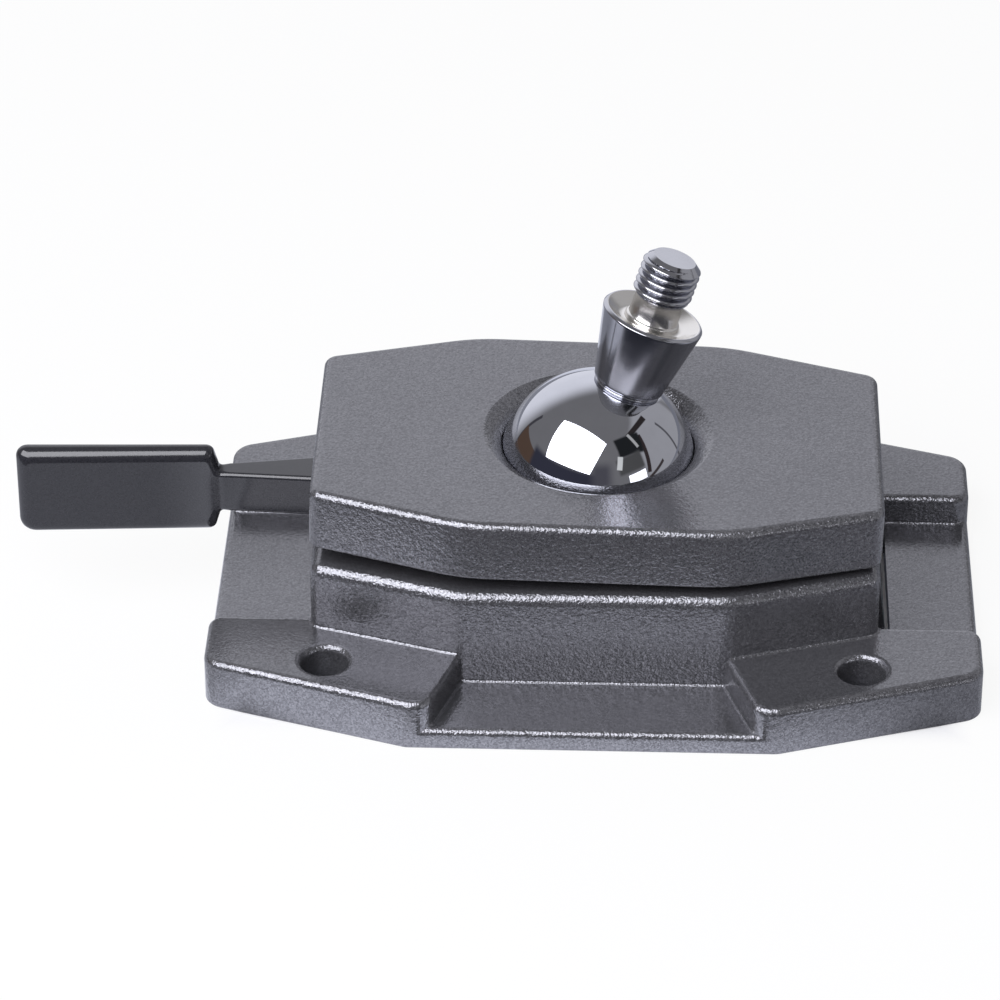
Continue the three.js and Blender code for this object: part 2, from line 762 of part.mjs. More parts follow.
// The dipped grip: it covers the blade and the neck of the arm, and is open at the hub's end.
function leverGrip() {
  const half = blade_thickness / 2;
  const levels = roundedLevels(-half, half, blade_edge_radius, blade_edge_radius);
  const blade = stacked(bladeOutline(), levels, blade_corner_radius).rotateX(Math.PI / 2);
  const reach = arm_end_distance + shoulder_slant;
  const neck = solidOf(prism(armOutline(0, reach), arm_lift, arm_lift + arm_height));
  const hub_side = block(-grip_start, hub_radius, -hub_radius, hub_radius, 0, body_height * 2);
  return cut(
    join(solidOf(blade), cut(neck, solidOf(hub_side))),
    insideGrip(grip_skin),
  );
}

function leverPin() {
  const half = hub_radius - gap * 2;
  const level = arm_lift + arm_height / 2;
  return rod(lever_pin_radius, -half, half, pin_steps).rotateX(Math.PI / 2).translate(0, 0, level);
}

function hubWasher() {
  const bottom = pocket_floor_height + gap;
  const top = bottom + hub_washer_thickness;
  return ring(screw_radius + screw_fit, hub_washer_radius, bottom, top, small_round_steps);
}

function thrustWasher() {
  const top = washer_height + washer_thickness;
  return ring(screw_radius + screw_fit, washer_radius, washer_height, top, small_round_steps);
}

// A coil spring standing on the bottom of its hole and reaching the plate.
function liftSpring() {
  const bottom = spring_seat_height + gap + spring_wire_radius;
  const plate_here = plate_height_at_centre - plate_tilt * spring_place_x;
  const height = plate_here - gap - spring_wire_radius - bottom;
  class Coil extends THREE.Curve {
    getPoint(t) {
      const angle = full_turn * spring_turns * t;
      const [x, y] = [spring_radius * Math.cos(angle), spring_radius * Math.sin(angle)];
      return new THREE.Vector3(x, y, bottom + height * t);
    }
  }
  const section = Array.from({ length: wire_sides }, (_, i) => {
    const angle = full_turn * i / wire_sides;
    return new THREE.Vector2(spring_wire_radius, 0).rotateAround(new THREE.Vector2(), angle);
  });
  return new THREE.ExtrudeGeometry(new THREE.Shape(section), {
    steps: spring_turns * steps_per_turn, bevelEnabled: false, extrudePath: new Coil(),
  });
}

function hingePin() {
  const half = hinge_pin_length / 2;
  return rod(hinge_pin_radius, -half, half, small_round_steps).rotateX(Math.PI / 2);
}

const paint = { color: 0x7d7d80, roughness: 0.42, metalness: 0.25 };
const chrome = { color: 0xe6e8ec, roughness: 0.06, metalness: 1 };
const bright_steel = { color: 0xc9ccd2, roughness: 0.2, metalness: 1 };
const dark_steel = { color: 0x55585c, roughness: 0.45, metalness: 0.9 };
const black_vinyl = { color: 0x141416, roughness: 0.22, metalness: 0 };
const black_enamel = { color: 0x1d1d20, roughness: 0.35, metalness: 0.1 };
const brass = { color: 0xb59a56, roughness: 0.4, metalness: 1 };
const seat_plastic = { color: 0x3a3b3d, roughness: 0.5, metalness: 0 };

function piece(name, shape, material) {
  const geometry = shape instanceof THREE.BufferGeometry ? shape : geometryOf(shape);
  const mesh = new THREE.Mesh(geometry, new THREE.MeshStandardMaterial(material));
  mesh.name = name;
  return mesh;
}

function at(mesh, x, y, z) {
  mesh.position.set(x, y, z);
  return mesh;
}

const group = new THREE.Group();

group.add(
  piece('base_casting', baseCasting(), paint),
  piece('seat_spring', seatSpring(), bright_steel),
  piece('lower_seat', lowerSeat(), seat_plastic),
  piece('hub_washer', aboutScrew(hubWasher(), 0), bright_steel),
  piece('thrust_washer', aboutScrew(thrustWasher(), 0), bright_steel),
  at(piece('hinge_pin', hingePin(), bright_steel), hinge_distance, 0, hinge_height),
  at(piece('lift_spring_front', liftSpring(), bright_steel), spring_place_x, -spring_place_y, 0),
  at(piece('lift_spring_rear', liftSpring(), bright_steel), spring_place_x, spring_place_y, 0),
);

const plate_group = new THREE.Group();
plate_group.position.z = plate_height_at_centre;
plate_group.rotation.y = plate_tilt;
const stop_pin = rod(stop_pin_radius, pocket_ceiling_local + gap,
  pocket_ceiling_local + stop_pin_length, pin_steps);
plate_group.add(
  piece('clamp_plate', clampPlate(), paint),
  piece('upper_seat_ring', upperSeatRing(), seat_plastic),
  piece('clamp_nut', clampNut(), brass),
  piece('nut_stop_pin', stop_pin.translate(stopPinPlace(), 0, 0), dark_steel),
);

const ball_group = new THREE.Group();
ball_group.position.z = ball_centre_height;
ball_group.rotation.set(0, stud_lean, stud_lean_direction, 'ZYX');
ball_group.add(
  piece('ball', ball(), chrome),
  piece('neck_ring', neckRing(), bright_steel),
  piece('ball_stud', ballStud(), chrome),
  piece('stud_lock_screw', lockScrew(), dark_steel),
);

const lever_group = new THREE.Group();
lever_group.position.x = -screw_distance;
lever_group.rotation.z = lever_turn;
lever_group.add(
  piece('clamp_screw', clampScrew(), bright_steel),
  piece('lever_arm', leverArm(), black_enamel),
  piece('lever_grip', leverGrip(), black_vinyl),
  piece('lever_pin', leverPin(), bright_steel),
);

group.add(plate_group, ball_group, lever_group);

export default group;
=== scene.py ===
"""The looks of a ball vise: hammer-painted castings, a chromed ball, a turned stud and a lever.

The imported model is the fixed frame. Every piece here is made in its place and rides on the body
that its model node belongs to. Sizes of shapes are written in millimetres, the studio's in metres.
"""

from __future__ import annotations

import functools
import logging
import math
from collections.abc import Callable, Sequence
from dataclasses import dataclass
from enum import Enum

import bmesh
import bpy
from mathutils import Matrix, Vector


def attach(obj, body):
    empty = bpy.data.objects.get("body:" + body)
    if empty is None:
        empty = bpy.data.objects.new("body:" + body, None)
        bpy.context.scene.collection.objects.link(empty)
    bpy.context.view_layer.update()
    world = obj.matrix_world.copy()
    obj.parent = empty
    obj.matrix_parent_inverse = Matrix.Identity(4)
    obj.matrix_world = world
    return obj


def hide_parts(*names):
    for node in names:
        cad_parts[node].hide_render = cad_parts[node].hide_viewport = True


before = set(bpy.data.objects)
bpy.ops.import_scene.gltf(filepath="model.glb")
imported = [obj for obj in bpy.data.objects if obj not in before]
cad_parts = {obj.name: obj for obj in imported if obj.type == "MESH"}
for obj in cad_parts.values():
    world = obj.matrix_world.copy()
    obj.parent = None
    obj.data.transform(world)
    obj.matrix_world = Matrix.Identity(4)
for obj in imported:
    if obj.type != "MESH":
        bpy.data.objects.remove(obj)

LOG = logging.getLogger("ball_vise")
MM = 0.001

Point2 = tuple[float, float]
Point3 = tuple[float, float, float]
Piece = bpy.types.Object
Material = bpy.types.Material
Test = Callable[[object], bool]

QUARTERS = ((1, 1), (-1, 1), (-1, -1), (1, -1))
UPRIGHT = Matrix.Rotation(math.pi / 2, 4, "X")


class Part(Enum):
    """What an edit-mode selection picks."""

    VERTS = "VERT"
    EDGES = "EDGE"
    FACES = "FACE"


class Join(Enum):
    """How one solid meets another."""

    ADD = "UNION"
    CUT = "DIFFERENCE"
    KEEP = "INTERSECT"


class Bench:
    """The modelling operators, with their selections made in code."""

    @staticmethod
    def clear() -> None:
        """Leaves nothing selected and object mode on."""
        if bpy.context.object and bpy.context.object.mode != "OBJECT":
            bpy.ops.object.mode_set(mode="OBJECT")
        bpy.ops.object.select_all(action="DESELECT")

    @staticmethod
    def hold(piece: Piece) -> None:
        """Makes one piece the only selected and active one.

        Args:
            piece: The mesh object.
        """
        Bench.clear()
        piece.select_set(True)
        bpy.context.view_layer.objects.active = piece

    @staticmethod
    def named(name: str) -> Piece:
        """Names the primitive that was just added and settles its place in its mesh.

        Args:
            name: The name for the object and its mesh.

        Returns:
            The primitive.
        """
        piece = bpy.context.active_object
        piece.name = name
        piece.data.name = name
        bpy.ops.object.transform_apply(location=True, rotation=True, scale=True)
        return piece

    @staticmethod
    def pick(piece: Piece, part: Part, test: Test = lambda element: True) -> None:
        """Selects the verts, edges or faces that pass a test, and leaves the piece in edit mode.

        Args:
            piece: The mesh object.
            part: What kind of element is picked.
            test: Says whether one bmesh element is picked. Without it, all are.
        """
        Bench.hold(piece)
        bpy.ops.object.mode_set(mode="EDIT")
        bpy.ops.mesh.select_mode(type=part.value)
        bpy.ops.mesh.select_all(action="DESELECT")
        mesh = bmesh.from_edit_mesh(piece.data)
        elements = {Part.VERTS: mesh.verts, Part.EDGES: mesh.edges, Part.FACES: mesh.faces}[part]
        for element in [element for element in elements if test(element)]:
            element.select_set(True)
        mesh.select_flush_mode()
        bmesh.update_edit_mesh(piece.data)

    @staticmethod
    def block(name: str, low: Point3, high: Point3) -> Piece:
        """Adds a box between two corners given in millimetres.

        Args:
            name: The new piece's name.
            low: The corner with the lowest values.
            high: The opposite corner.

        Returns:
            The box.
        """
        Bench.clear()
        centre = [(a + b) / 2 * MM for a, b in zip(low, high)]
        bpy.ops.mesh.primitive_cube_add(size=1, location=centre)
        bpy.context.active_object.scale = [(b - a) * MM for a, b in zip(low, high)]
        return Bench.named(name)

    @staticmethod
    def rod(name: str, radius: float, low: float, high: float, sides: int = 64) -> Piece:
        """Adds an upright round bar about the Z axis, in millimetres.

        Args:
            name: The new piece's name.
            radius: The bar's radius.
            low: Height of its lower end.
            high: Height of its upper end.
            sides: How many flat sides go round.

        Returns:
            The bar.
        """
        Bench.clear()
        bpy.ops.mesh.primitive_cylinder_add(
            vertices=sides,
            radius=radius * MM,
            depth=(high - low) * MM,
            location=(0, 0, (low + high) / 2 * MM),
        )
        return Bench.named(name)

    @staticmethod
    def prism(name: str, outline: Sequence[Point2], low: float, high: float) -> Piece:
        """Raises an anticlockwise outline from one height to another, in millimetres."""
        return Bench.loft(name, [(low, outline), (high, outline)])

    @staticmethod
    def loft(name: str, rings: Sequence[tuple[float, Sequence[Point2]]]) -> Piece:
        """Extrudes an outline through a stack of outlines of as many corners.

        Args:
            name: The new piece's name.
            rings: A height and an outline for each level, from below upwards, in millimetres.

        Returns:
            The closed stack.
        """
        Bench.clear()
        bpy.ops.mesh.primitive_circle_add(vertices=len(rings[0][1]), fill_type="NGON")
        piece = Bench.named(name)
        levels = [[Vector((x, y, height)) * MM for x, y in outline] for height, outline in rings]
        for vertex, place in zip(piece.data.vertices, levels[0]):
            vertex.co = place
        Bench.pick(piece, Part.FACES)
        for before, after in zip(levels, levels[1:]):
            bpy.ops.mesh.extrude_region_move(TRANSFORM_OT_translate={"value": (0, 0, 0)})
            mesh = bmesh.from_edit_mesh(piece.data)
            for vertex in [v for v in mesh.verts if v.select]:
                gaps = [(corner - vertex.co).length_squared for corner in before]
                vertex.co = after[gaps.index(min(gaps))]
            bmesh.update_edit_mesh(piece.data)
        return Bench.outward(piece)

    @staticmethod
    def spun(name: str, profile: Sequence[Point2], steps: int = 128) -> Piece:
        """Spins a profile of (radius, height) points, in millimetres, about the Z axis.

        Args:
            name: The new piece's name.
            profile: The section, from one end on the axis to the other, or closed on itself.
            steps: How many facets go round.

        Returns:
            The closed round piece.
        """
        Bench.clear()
        bpy.ops.mesh.primitive_circle_add(vertices=len(profile), fill_type="NOTHING")
        piece = Bench.named(name)
        for vertex, (radius, height) in zip(piece.data.vertices, profile):
            vertex.co = (radius * MM, 0, height * MM)
        if profile[0][0] == 0 and profile[-1][0] == 0:
            last = len(profile) - 1
            Bench.pick(piece, Part.EDGES, lambda edge: {v.index for v in edge.verts} == {0, last})
            bpy.ops.mesh.delete(type="EDGE")
        Bench.pick(piece, Part.VERTS)
        bpy.ops.mesh.spin(steps=steps, angle=math.tau, center=(0, 0, 0), axis=(0, 0, 1))
        bpy.ops.mesh.select_all(action="SELECT")
        bpy.ops.mesh.remove_doubles(threshold=1e-7)
        return Bench.outward(piece)

    @staticmethod
    def edges_at(*heights: float) -> Test:
        """Makes a test that picks the edges with both ends at given heights.

        Args:
            heights: The heights, in millimetres.

        Returns:
            The test, for pick or crease.
        """

        def test(edge: object) -> bool:
            """Whether both ends of an edge lie at one of the heights."""
            gaps = [min(abs(v.co.z - height * MM) for height in heights) for v in edge.verts]
            return max(gaps) < 1e-6

        return test

    @staticmethod
    def round_rim(piece: Piece, height: float, radius: float, segments: int) -> Piece:
        """Rounds the rim of the face that lies at a height.

        Args:
            piece: The mesh object.
            height: The face's height, in millimetres.
            radius: The round edge's radius.
            segments: How many facets the round edge gets.

        Returns:
            The same piece.
        """
        Bench.pick(piece, Part.EDGES, Bench.edges_at(height))
        bpy.ops.mesh.bevel(
            offset=radius * MM,
            offset_type="OFFSET",
            segments=segments,
            affect="EDGES",
            clamp_overlap=False,
        )
        Bench.clear()
        return piece

    @staticmethod
    def combine(piece: Piece, how: Join, *tools: Piece) -> Piece:
        """Adds tools to a piece or cuts them out of it, and uses them up.

        Args:
            piece: The mesh object that is changed.
            how: Whether it gains the tools, loses them or keeps what it shares with them.
            tools: The mesh objects that are used up.

        Returns:
            The same piece.
        """
        for tool in tools:
            modifier = piece.modifiers.new(how.value, "BOOLEAN")
            modifier.operation = how.value
            modifier.solver = "MANIFOLD"
            modifier.object = tool
            Bench.hold(piece)
            bpy.ops.object.modifier_apply(modifier=modifier.name)
            mesh = tool.data
            bpy.data.objects.remove(tool)
            bpy.data.meshes.remove(mesh)
        return piece

    @staticmethod
    def place(piece: Piece, matrix: Matrix) -> Piece:
        """Moves a piece's mesh, and leaves its object at the origin.

        Args:
            piece: The mesh object.
            matrix: From the mesh's place to its new one.

        Returns:
            The same piece.
        """
        piece.data.transform(matrix)
        piece.data.update()
        return piece

    @staticmethod
    def shift(piece: Piece, x: float, y: float = 0, z: float = 0) -> Piece:
        """Moves a piece's mesh by so many millimetres."""
        return Bench.place(piece, Matrix.Translation(Vector((x, y, z)) * MM))

    @staticmethod
    def turn_down(
        piece: Piece, low: float, high: float, radius: Callable[[float, float], float]
    ) -> None:
        """Gives the round bar's points between two heights a new radius.

        Args:
            piece: A bar about the Z axis.
            low: The lowest height that is turned down, in millimetres.
            high: The highest one.
            radius: Says the new radius at a height in millimetres and an angle in radians.
        """
        for point in (vertex.co for vertex in piece.data.vertices):
            height = point.z / MM
            if low <= height <= high:
                wanted = radius(height, math.atan2(point.y, point.x)) * MM
                scale = wanted / max(1e-9, math.hypot(point.x, point.y))
                point.x *= scale
                point.y *= scale

    @staticmethod
    def outward(piece: Piece) -> Piece:
        """Turns a piece's faces outwards.

        Args:
            piece: The mesh object.

        Returns:
            The same piece.
        """
        Bench.pick(piece, Part.FACES)
        bpy.ops.mesh.normals_make_consistent(inside=False)
        Bench.clear()
        return piece

    @staticmethod
    def tidy(piece: Piece, flat_degrees: float) -> None:
        """Merges doubles and dissolves what lies flat after booleans.

        Args:
            piece: The mesh object.
            flat_degrees: Faces that meet at less than this count as flat.
        """
        Bench.pick(piece, Part.VERTS)
        bpy.ops.mesh.remove_doubles(threshold=2e-6)
        bpy.ops.mesh.dissolve_limited(angle_limit=math.radians(flat_degrees))
        Bench.clear()

    @staticmethod
    def crease(piece: Piece, test: Test) -> None:
        """Keeps the edges that pass a test sharp in the shading.

        Args:
            piece: The mesh object.
            test: Says whether one bmesh edge stays sharp.
        """
        Bench.pick(piece, Part.EDGES, test)
        bpy.ops.mesh.mark_sharp()
        Bench.clear()

    @staticmethod
    def smooth(piece: Piece, degrees: float = 32, even: bool = False) -> Piece:
        """Shades a piece smooth, with its creases above an angle kept sharp.

        Args:
            piece: The mesh object.
            degrees: Edges that bend more than this stay sharp.
            even: Whether large flat faces keep their flat shading right up to their round edges.

        Returns:
            The same piece.
        """
        Bench.hold(piece)
        bpy.ops.object.shade_smooth_by_angle(angle=math.radians(degrees))
        if even:
            modifier = piece.modifiers.new("even", "WEIGHTED_NORMAL")
            modifier.keep_sharp = True
            modifier.weight = 100
            bpy.ops.object.modifier_apply(modifier=modifier.name)
        Bench.clear()
        return piece


def arc(centre: Point2, radius: float, start: float, end: float, steps: int) -> list[Point2]:
    """Points on an arc, in degrees, both ends included."""
    turns = [math.radians(start + (end - start) * i / steps) for i in range(steps + 1)]
    return [(centre[0] + radius * math.cos(t), centre[1] + radius * math.sin(t)) for t in turns]


def rounded(outline: Sequence[Point2], radii: Sequence[float], steps: int = 6) -> list[Point2]:
    """Rounds the corners of an anticlockwise outline.

    Args:
        outline: The sharp corners.
        radii: A radius for each corner.
        steps: Facets at each corner.

    Returns:
        The rounded outline.
    """
    points: list[Point2] = []
    for i, (corner, radius) in enumerate(zip(outline, radii)):
        here = Vector(corner)
        back = (Vector(outline[i - 1]) - here).normalized()
        ahead = (Vector(outline[(i + 1) % len(outline)]) - here).normalized()
        half = math.acos(max(-1.0, min(1.0, back.dot(ahead)))) / 2
        if radius <= 0 or half > math.radians(89.5):
            points.append(corner)
            continue
        centre = here + (back + ahead).normalized() * (radius / math.sin(half))
        first = here + back * (radius / math.tan(half)) - centre
        turn = math.pi - 2 * half
        sign = -1 if back.cross(ahead) > 0 else 1
        for step in range(steps + 1):
            angle = sign * turn * step / steps
            spoke = Matrix.Rotation(angle, 2) @ first
            points.append(tuple(centre + spoke))
    return points


def widened(outline: Sequence[Point2], out: float) -> list[Point2]:
    """Moves every side of a convex anticlockwise outline outwards by the same distance.

    Args:
        outline: The sharp corners.
        out: The distance, below 0 to draw the outline in.

    Returns:
        The moved corners.
    """
    lines = []
    for i, corner in enumerate(outline):
        start, end = Vector(corner), Vector(outline[(i + 1) % len(outline)])
        along = (end - start).normalized()
        normal = Vector((along.y, -along.x))
        lines.append((normal, normal.dot(start) + out))
    corners = []
    for (n0, d0), (n1, d1) in zip([lines[-1], *lines[:-1]], lines):
        det = n0.cross(n1)
        corners.append(((d0 * n1.y - d1 * n0.y) / det, (n0.x * d1 - n1.x * d0) / det))
    return corners


def octagon(length: float, width: float, end_width: float, flat_length: float) -> list[Point2]:
    """A long octagon's corners, anticlockwise from the right end's front corner.

    Args:
        length: From end to end, along X.
        width: From side to side, along Y.
        end_width: How wide the two ends are.
        flat_length: How long the straight middle of the two sides is.

    Returns:
        The eight corners.
    """
    x, y, flat, end = length / 2, width / 2, flat_length / 2, end_width / 2
    right = [(x, -end), (x, end), (flat, y)]
    left = [(-flat, y), (-x, end), (-x, -end), (-flat, -y)]
    return [*right, *left, (flat, -y)]


class Socket:
    """A shader value that takes part in arithmetic written with operators."""

    def __init__(self, shop: Shop, source: bpy.types.NodeSocket | float) -> None:
        """Wraps a node's output, or a number."""
        self.shop = shop
        self.source = source

    def _maths(self, operation: str, first: object, second: object = 0.0) -> Socket:
        """Adds one Math node."""
        return self.shop.node("ShaderNodeMath", {"operation": operation}, {0: first, 1: second})

    def __add__(self, other: object) -> Socket:
        """Adds."""
        return self._maths("ADD", self, other)

    def __sub__(self, other: object) -> Socket:
        """Subtracts."""
        return self._maths("SUBTRACT", self, other)

    def __rsub__(self, other: object) -> Socket:
        """Subtracts this from a number."""
        return self._maths("SUBTRACT", other, self)

    def __mul__(self, other: object) -> Socket:
        """Multiplies."""
        return self._maths("MULTIPLY", self, other)

    __radd__ = __add__
    __rmul__ = __mul__

    def larger(self, other: object) -> Socket:
        """The larger of two values."""
        return self._maths("MAXIMUM", self, other)

    def size(self) -> Socket:
        """The value without its sign."""
        return self._maths("ABSOLUTE", self)

    def clipped(self, low: float, high: float) -> Socket:
        """Stretches the span from low to high over 0 to 1 and clips the rest."""
        settings = {"interpolation_type": "SMOOTHSTEP"}
        return self.shop.node("ShaderNodeMapRange", settings, {0: self, 1: low, 2: high})


class Shop:
    """Makes one material's nodes."""

    def __init__(self, name: str, world: bpy.types.World | None = None) -> None:
        """Starts a material by its name, or a world's surroundings.

        Args:
            name: The material's name.
            world: The world that is made instead of a material.
        """
        self.material = world or bpy.data.materials.new(name)
        self.material.use_nodes = True
        self.tree = self.material.node_tree
        self.tree.nodes.clear()
        kind = "ShaderNodeOutputWorld" if world else "ShaderNodeOutputMaterial"
        self.output = self.tree.nodes.new(kind)

    def node(
        self,
        kind: str,
        settings: dict[str, object] | None = None,
        inputs: dict[int | str, object] | None = None,
        output: int | str = 0,
    ) -> Socket:
        """Adds a node.

        Args:
            kind: The node's type.
            settings: Properties of the node, set first.
            inputs: Values or links for its sockets, by index or name.
            output: Which output is wanted.

        Returns:
            The wanted output, wrapped.
        """
        node = self.tree.nodes.new(kind)
        for key, value in (settings or {}).items():
            setattr(node, key, value)
        for key, value in (inputs or {}).items():
            self.feed(node.inputs[key], value)
        return Socket(self, node.outputs[output])

    def feed(self, socket: bpy.types.NodeSocket, value: object) -> None:
        """Links a wrapped value to a socket, or writes a number or colour on it.

        Args:
            socket: The node's input.
            value: A wrapped output, a number or a colour.
        """
        if isinstance(value, Socket):
            self.tree.links.new(value.source, socket)
        else:
            socket.default_value = value

    def place(self, offset: Point3 = (0, 0, 0), turn: Point3 = (0, 0, 0)) -> Socket:
        """Object coordinates, shifted and turned.

        Args:
            offset: Where the new origin is, in metres.
            turn: How the new axes are turned, in radians.

        Returns:
            The coordinates.
        """
        coordinates = self.node("ShaderNodeTexCoord", output="Object")
        if not any(offset) and not any(turn):
            return coordinates
        return self.node(
            "ShaderNodeMapping",
            {"vector_type": "TEXTURE"},
            {"Vector": coordinates, "Location": offset, "Rotation": turn},
        )

    def noise(self, at: Socket, scale: float, detail: float = 2.0, rough: float = 0.5) -> Socket:
        """A cloudy pattern from 0 to 1."""
        inputs = {"Vector": at, "Scale": scale, "Detail": detail, "Roughness": rough}
        return self.node("ShaderNodeTexNoise", inputs=inputs)

    def cells(self, at: Socket, scale: float) -> Socket:
        """A pattern of cells, each of one random shade."""
        inputs = {"Vector": at, "Scale": scale}
        return self.node("ShaderNodeTexVoronoi", inputs=inputs, output="Color")

    def blend(self, factor: Socket, first: Sequence[float], second: Sequence[float]) -> Socket:
        """Mixes two colours.

        Args:
            factor: 0 for the first colour and 1 for the second.
            first: A colour, written or from a node.
            second: Another one.

        Returns:
            The mixed colour.
        """
        node = self.tree.nodes.new("ShaderNodeMix")
        node.data_type = "RGBA"
        self.feed(node.inputs["Factor"], factor)
        self.feed(node.inputs["A"], first if isinstance(first, Socket) else (*first, 1.0))
        self.feed(node.inputs["B"], second if isinstance(second, Socket) else (*second, 1.0))
        return Socket(self, node.outputs["Result"])

    def dot(self, first: Socket, second: Sequence[float]) -> Socket:
        """The dot product with a fixed direction."""
        inputs = {0: first, 1: tuple(second)}
        return self.node("ShaderNodeVectorMath", {"operation": "DOT_PRODUCT"}, inputs, "Value")

    def axis(self, vector: Socket, letter: str) -> Socket:
        """One axis of a vector."""
        return self.node("ShaderNodeSeparateXYZ", inputs={0: vector}, output=letter)

    def ray(self, kind: str) -> Socket:
        """Whether a ray is of a kind, such as Camera."""
        return self.node("ShaderNodeLightPath", output=f"Is {kind} Ray")

    def glow(self, colour: Socket | Sequence[float], kind: str = "Emission") -> Socket:
        """A shader that gives off a colour at its written strength."""
        colour = colour if isinstance(colour, Socket) else (*colour, 1.0)
        return self.node(f"ShaderNode{kind}", inputs={"Color": colour, "Strength": 1.0})

    def mix(self, factor: Socket, first: Socket, second: Socket) -> Socket:
        """Mixes two shaders."""
        return self.node("ShaderNodeMixShader", inputs={0: factor, 1: first, 2: second})

    def finish(self, shader: Socket) -> Material | bpy.types.World:
        """Puts a shader on the output."""
        self.tree.links.new(shader.source, self.output.inputs["Surface"])
        return self.material

    def bump(self, height: Socket, distance: float, strength: float = 1.0) -> Socket:
        """Turns a height pattern into a normal, with its depth in metres."""
        inputs = {"Height": height, "Distance": distance, "Strength": strength}
        return self.node("ShaderNodeBump", inputs=inputs)

    def surface(self, **inputs: object) -> Material:
        """Finishes the material with a principled surface.

        Args:
            inputs: Values or links for the sockets, by their names in snake case.

        Returns:
            The material.
        """
        plain = {key.replace("_", " ").title(): value for key, value in inputs.items()}
        named = {("IOR" if key == "Ior" else key): value for key, value in plain.items()}
        return self.finish(self.node("ShaderNodeBsdfPrincipled", inputs=named))


@dataclass(frozen=True)
class HammerPaint:
    """Dark grey hammer-finish paint: a glossy, finely dimpled skin over metal flake.

    Where a face looks straight up, the dimples are shallower and the flake is calmer.
    """

    name: str = "hammer_paint"
    light: Point3 = (0.3, 0.3, 0.318)
    dark: Point3 = (0.07, 0.07, 0.078)
    peel_scale: float = 1300.0
    grain_scale: float = 2700.0
    flake_scale: float = 3100.0
    patch_scale: float = 60.0
    depth: float = 0.00011
    level_span: Point2 = (0.88, 0.99)
    level_share: float = 0.62
    level_calm: float = 0.35
    contrast: float = 0.85
    metal: float = 0.73
    gloss: float = 0.13

    def material(self) -> Material:
        """Builds the paint.

        Returns:
            The material.
        """
        shop = Shop(self.name)
        at = shop.place()
        normal = shop.node("ShaderNodeTexCoord", output="Normal")
        level = shop.axis(normal, "Z").clipped(*self.level_span)
        grain = shop.noise(at, self.grain_scale, 1.0, 0.5)
        peel = shop.noise(at, self.peel_scale, 1.0, 0.4)
        flake = shop.cells(at, self.flake_scale)
        patch = shop.noise(at, self.patch_scale, 3.0)
        contrast = (1 - level * self.level_calm) * self.contrast
        tone = (flake * 0.8 + patch * 0.2 - 0.5) * contrast + 0.5
        height = (peel + grain * 0.8) * (1 - level * self.level_share)
        return shop.surface(
            base_color=shop.blend(tone, self.dark, self.light),
            metallic=self.metal,
            roughness=grain.clipped(0.2, 0.8) * 0.06 + self.gloss,
            normal=shop.bump(height, self.depth),
        )


@dataclass(frozen=True)
class PolishedMetal:
    """Plated or polished metal with faint handling marks. Where a tool turned a hollow it is rougher,
    and its tint there is lighter and warmer: a painted sheen for the light that the hollow catches.
    """

    name: str
    tint: Point3
    gloss: float = 0.05
    smear: float = 0.03
    dull_and_sheen_hollow: tuple[Matrix, float, float, float] | None = None
    # The turned hollow's lighter, warmer tint is painted sheen, standing in for the light that the
    # dish and the relief catch.
    hollow_tint_and_sheen: Point3 = (0.78, 0.76, 0.73)
    dull_and_sheen_rim: float = 0.0003
    cloud_scale: float = 90.0
    fine_scale: float = 1400.0

    def hollow(self, shop: Shop) -> Socket:
        """Where the turned hollow is: 1 within its radius and between its heights, in metres.

        Args:
            shop: The material that is being made.

        Returns:
            The mask.
        """
        stud, radius, low, high = self.dull_and_sheen_hollow
        at = shop.place(stud.to_translation(), stud.to_euler())
        axis = shop.axis(at, "Z")
        across = shop.node("ShaderNodeVectorMath", {"operation": "MULTIPLY"}, {0: at, 1: (1, 1, 0)})
        out = shop.node("ShaderNodeVectorMath", {"operation": "LENGTH"}, {0: across}, "Value")
        soft = self.dull_and_sheen_rim
        above = axis.clipped(low - soft, low)
        below = (axis * -1).clipped(-high - soft, -high)
        return above * below * (out * -1).clipped(-radius - soft, -radius)

    def material(self) -> Material:
        """Builds the metal.

        Returns:
            The material.
        """
        shop = Shop(self.name)
        at = shop.place()
        cloud = shop.noise(at, self.cloud_scale, 4.0, 0.6)
        fine = shop.noise(at, self.fine_scale, 2.0)
        darker = tuple(c * 0.93 for c in self.tint)
        colour = shop.blend(cloud.clipped(0.35, 0.7), self.tint, darker)
        rough = cloud.clipped(0.4, 0.75) * self.smear + fine * 0.01 + self.gloss
        # Within the turned hollow: a rougher finish, and a lighter tint that paints in the light the
        # hollow catches.
        if self.dull_and_sheen_hollow:
            inside = self.hollow(shop)
            colour = shop.blend(inside, colour, self.hollow_tint_and_sheen)
            rough = rough + inside * 0.05
        return shop.surface(base_color=colour, metallic=1.0, roughness=rough)


@dataclass(frozen=True)
class TurnedMetal:
    """Plain machined metal with fine tool marks."""

    name: str
    tint: Point3
    gloss: float = 0.28
    metal: float = 1.0
    mark_scale: float = 2600.0
    cloud_scale: float = 160.0
    depth: float = 0.00001

    def material(self) -> Material:
        """Builds the metal.

        Returns:
            The material.
        """
        shop = Shop(self.name)
        at = shop.place()
        marks = shop.noise(at, self.mark_scale, 2.0, 0.6)
        cloud = shop.noise(at, self.cloud_scale, 3.0)
        darker = tuple(c * 0.72 for c in self.tint)
        return shop.surface(
            base_color=shop.blend(cloud.clipped(0.35, 0.7), self.tint, darker),
            metallic=self.metal,
            roughness=cloud * 0.14 + self.gloss,
            normal=shop.bump(marks, self.depth),
        )


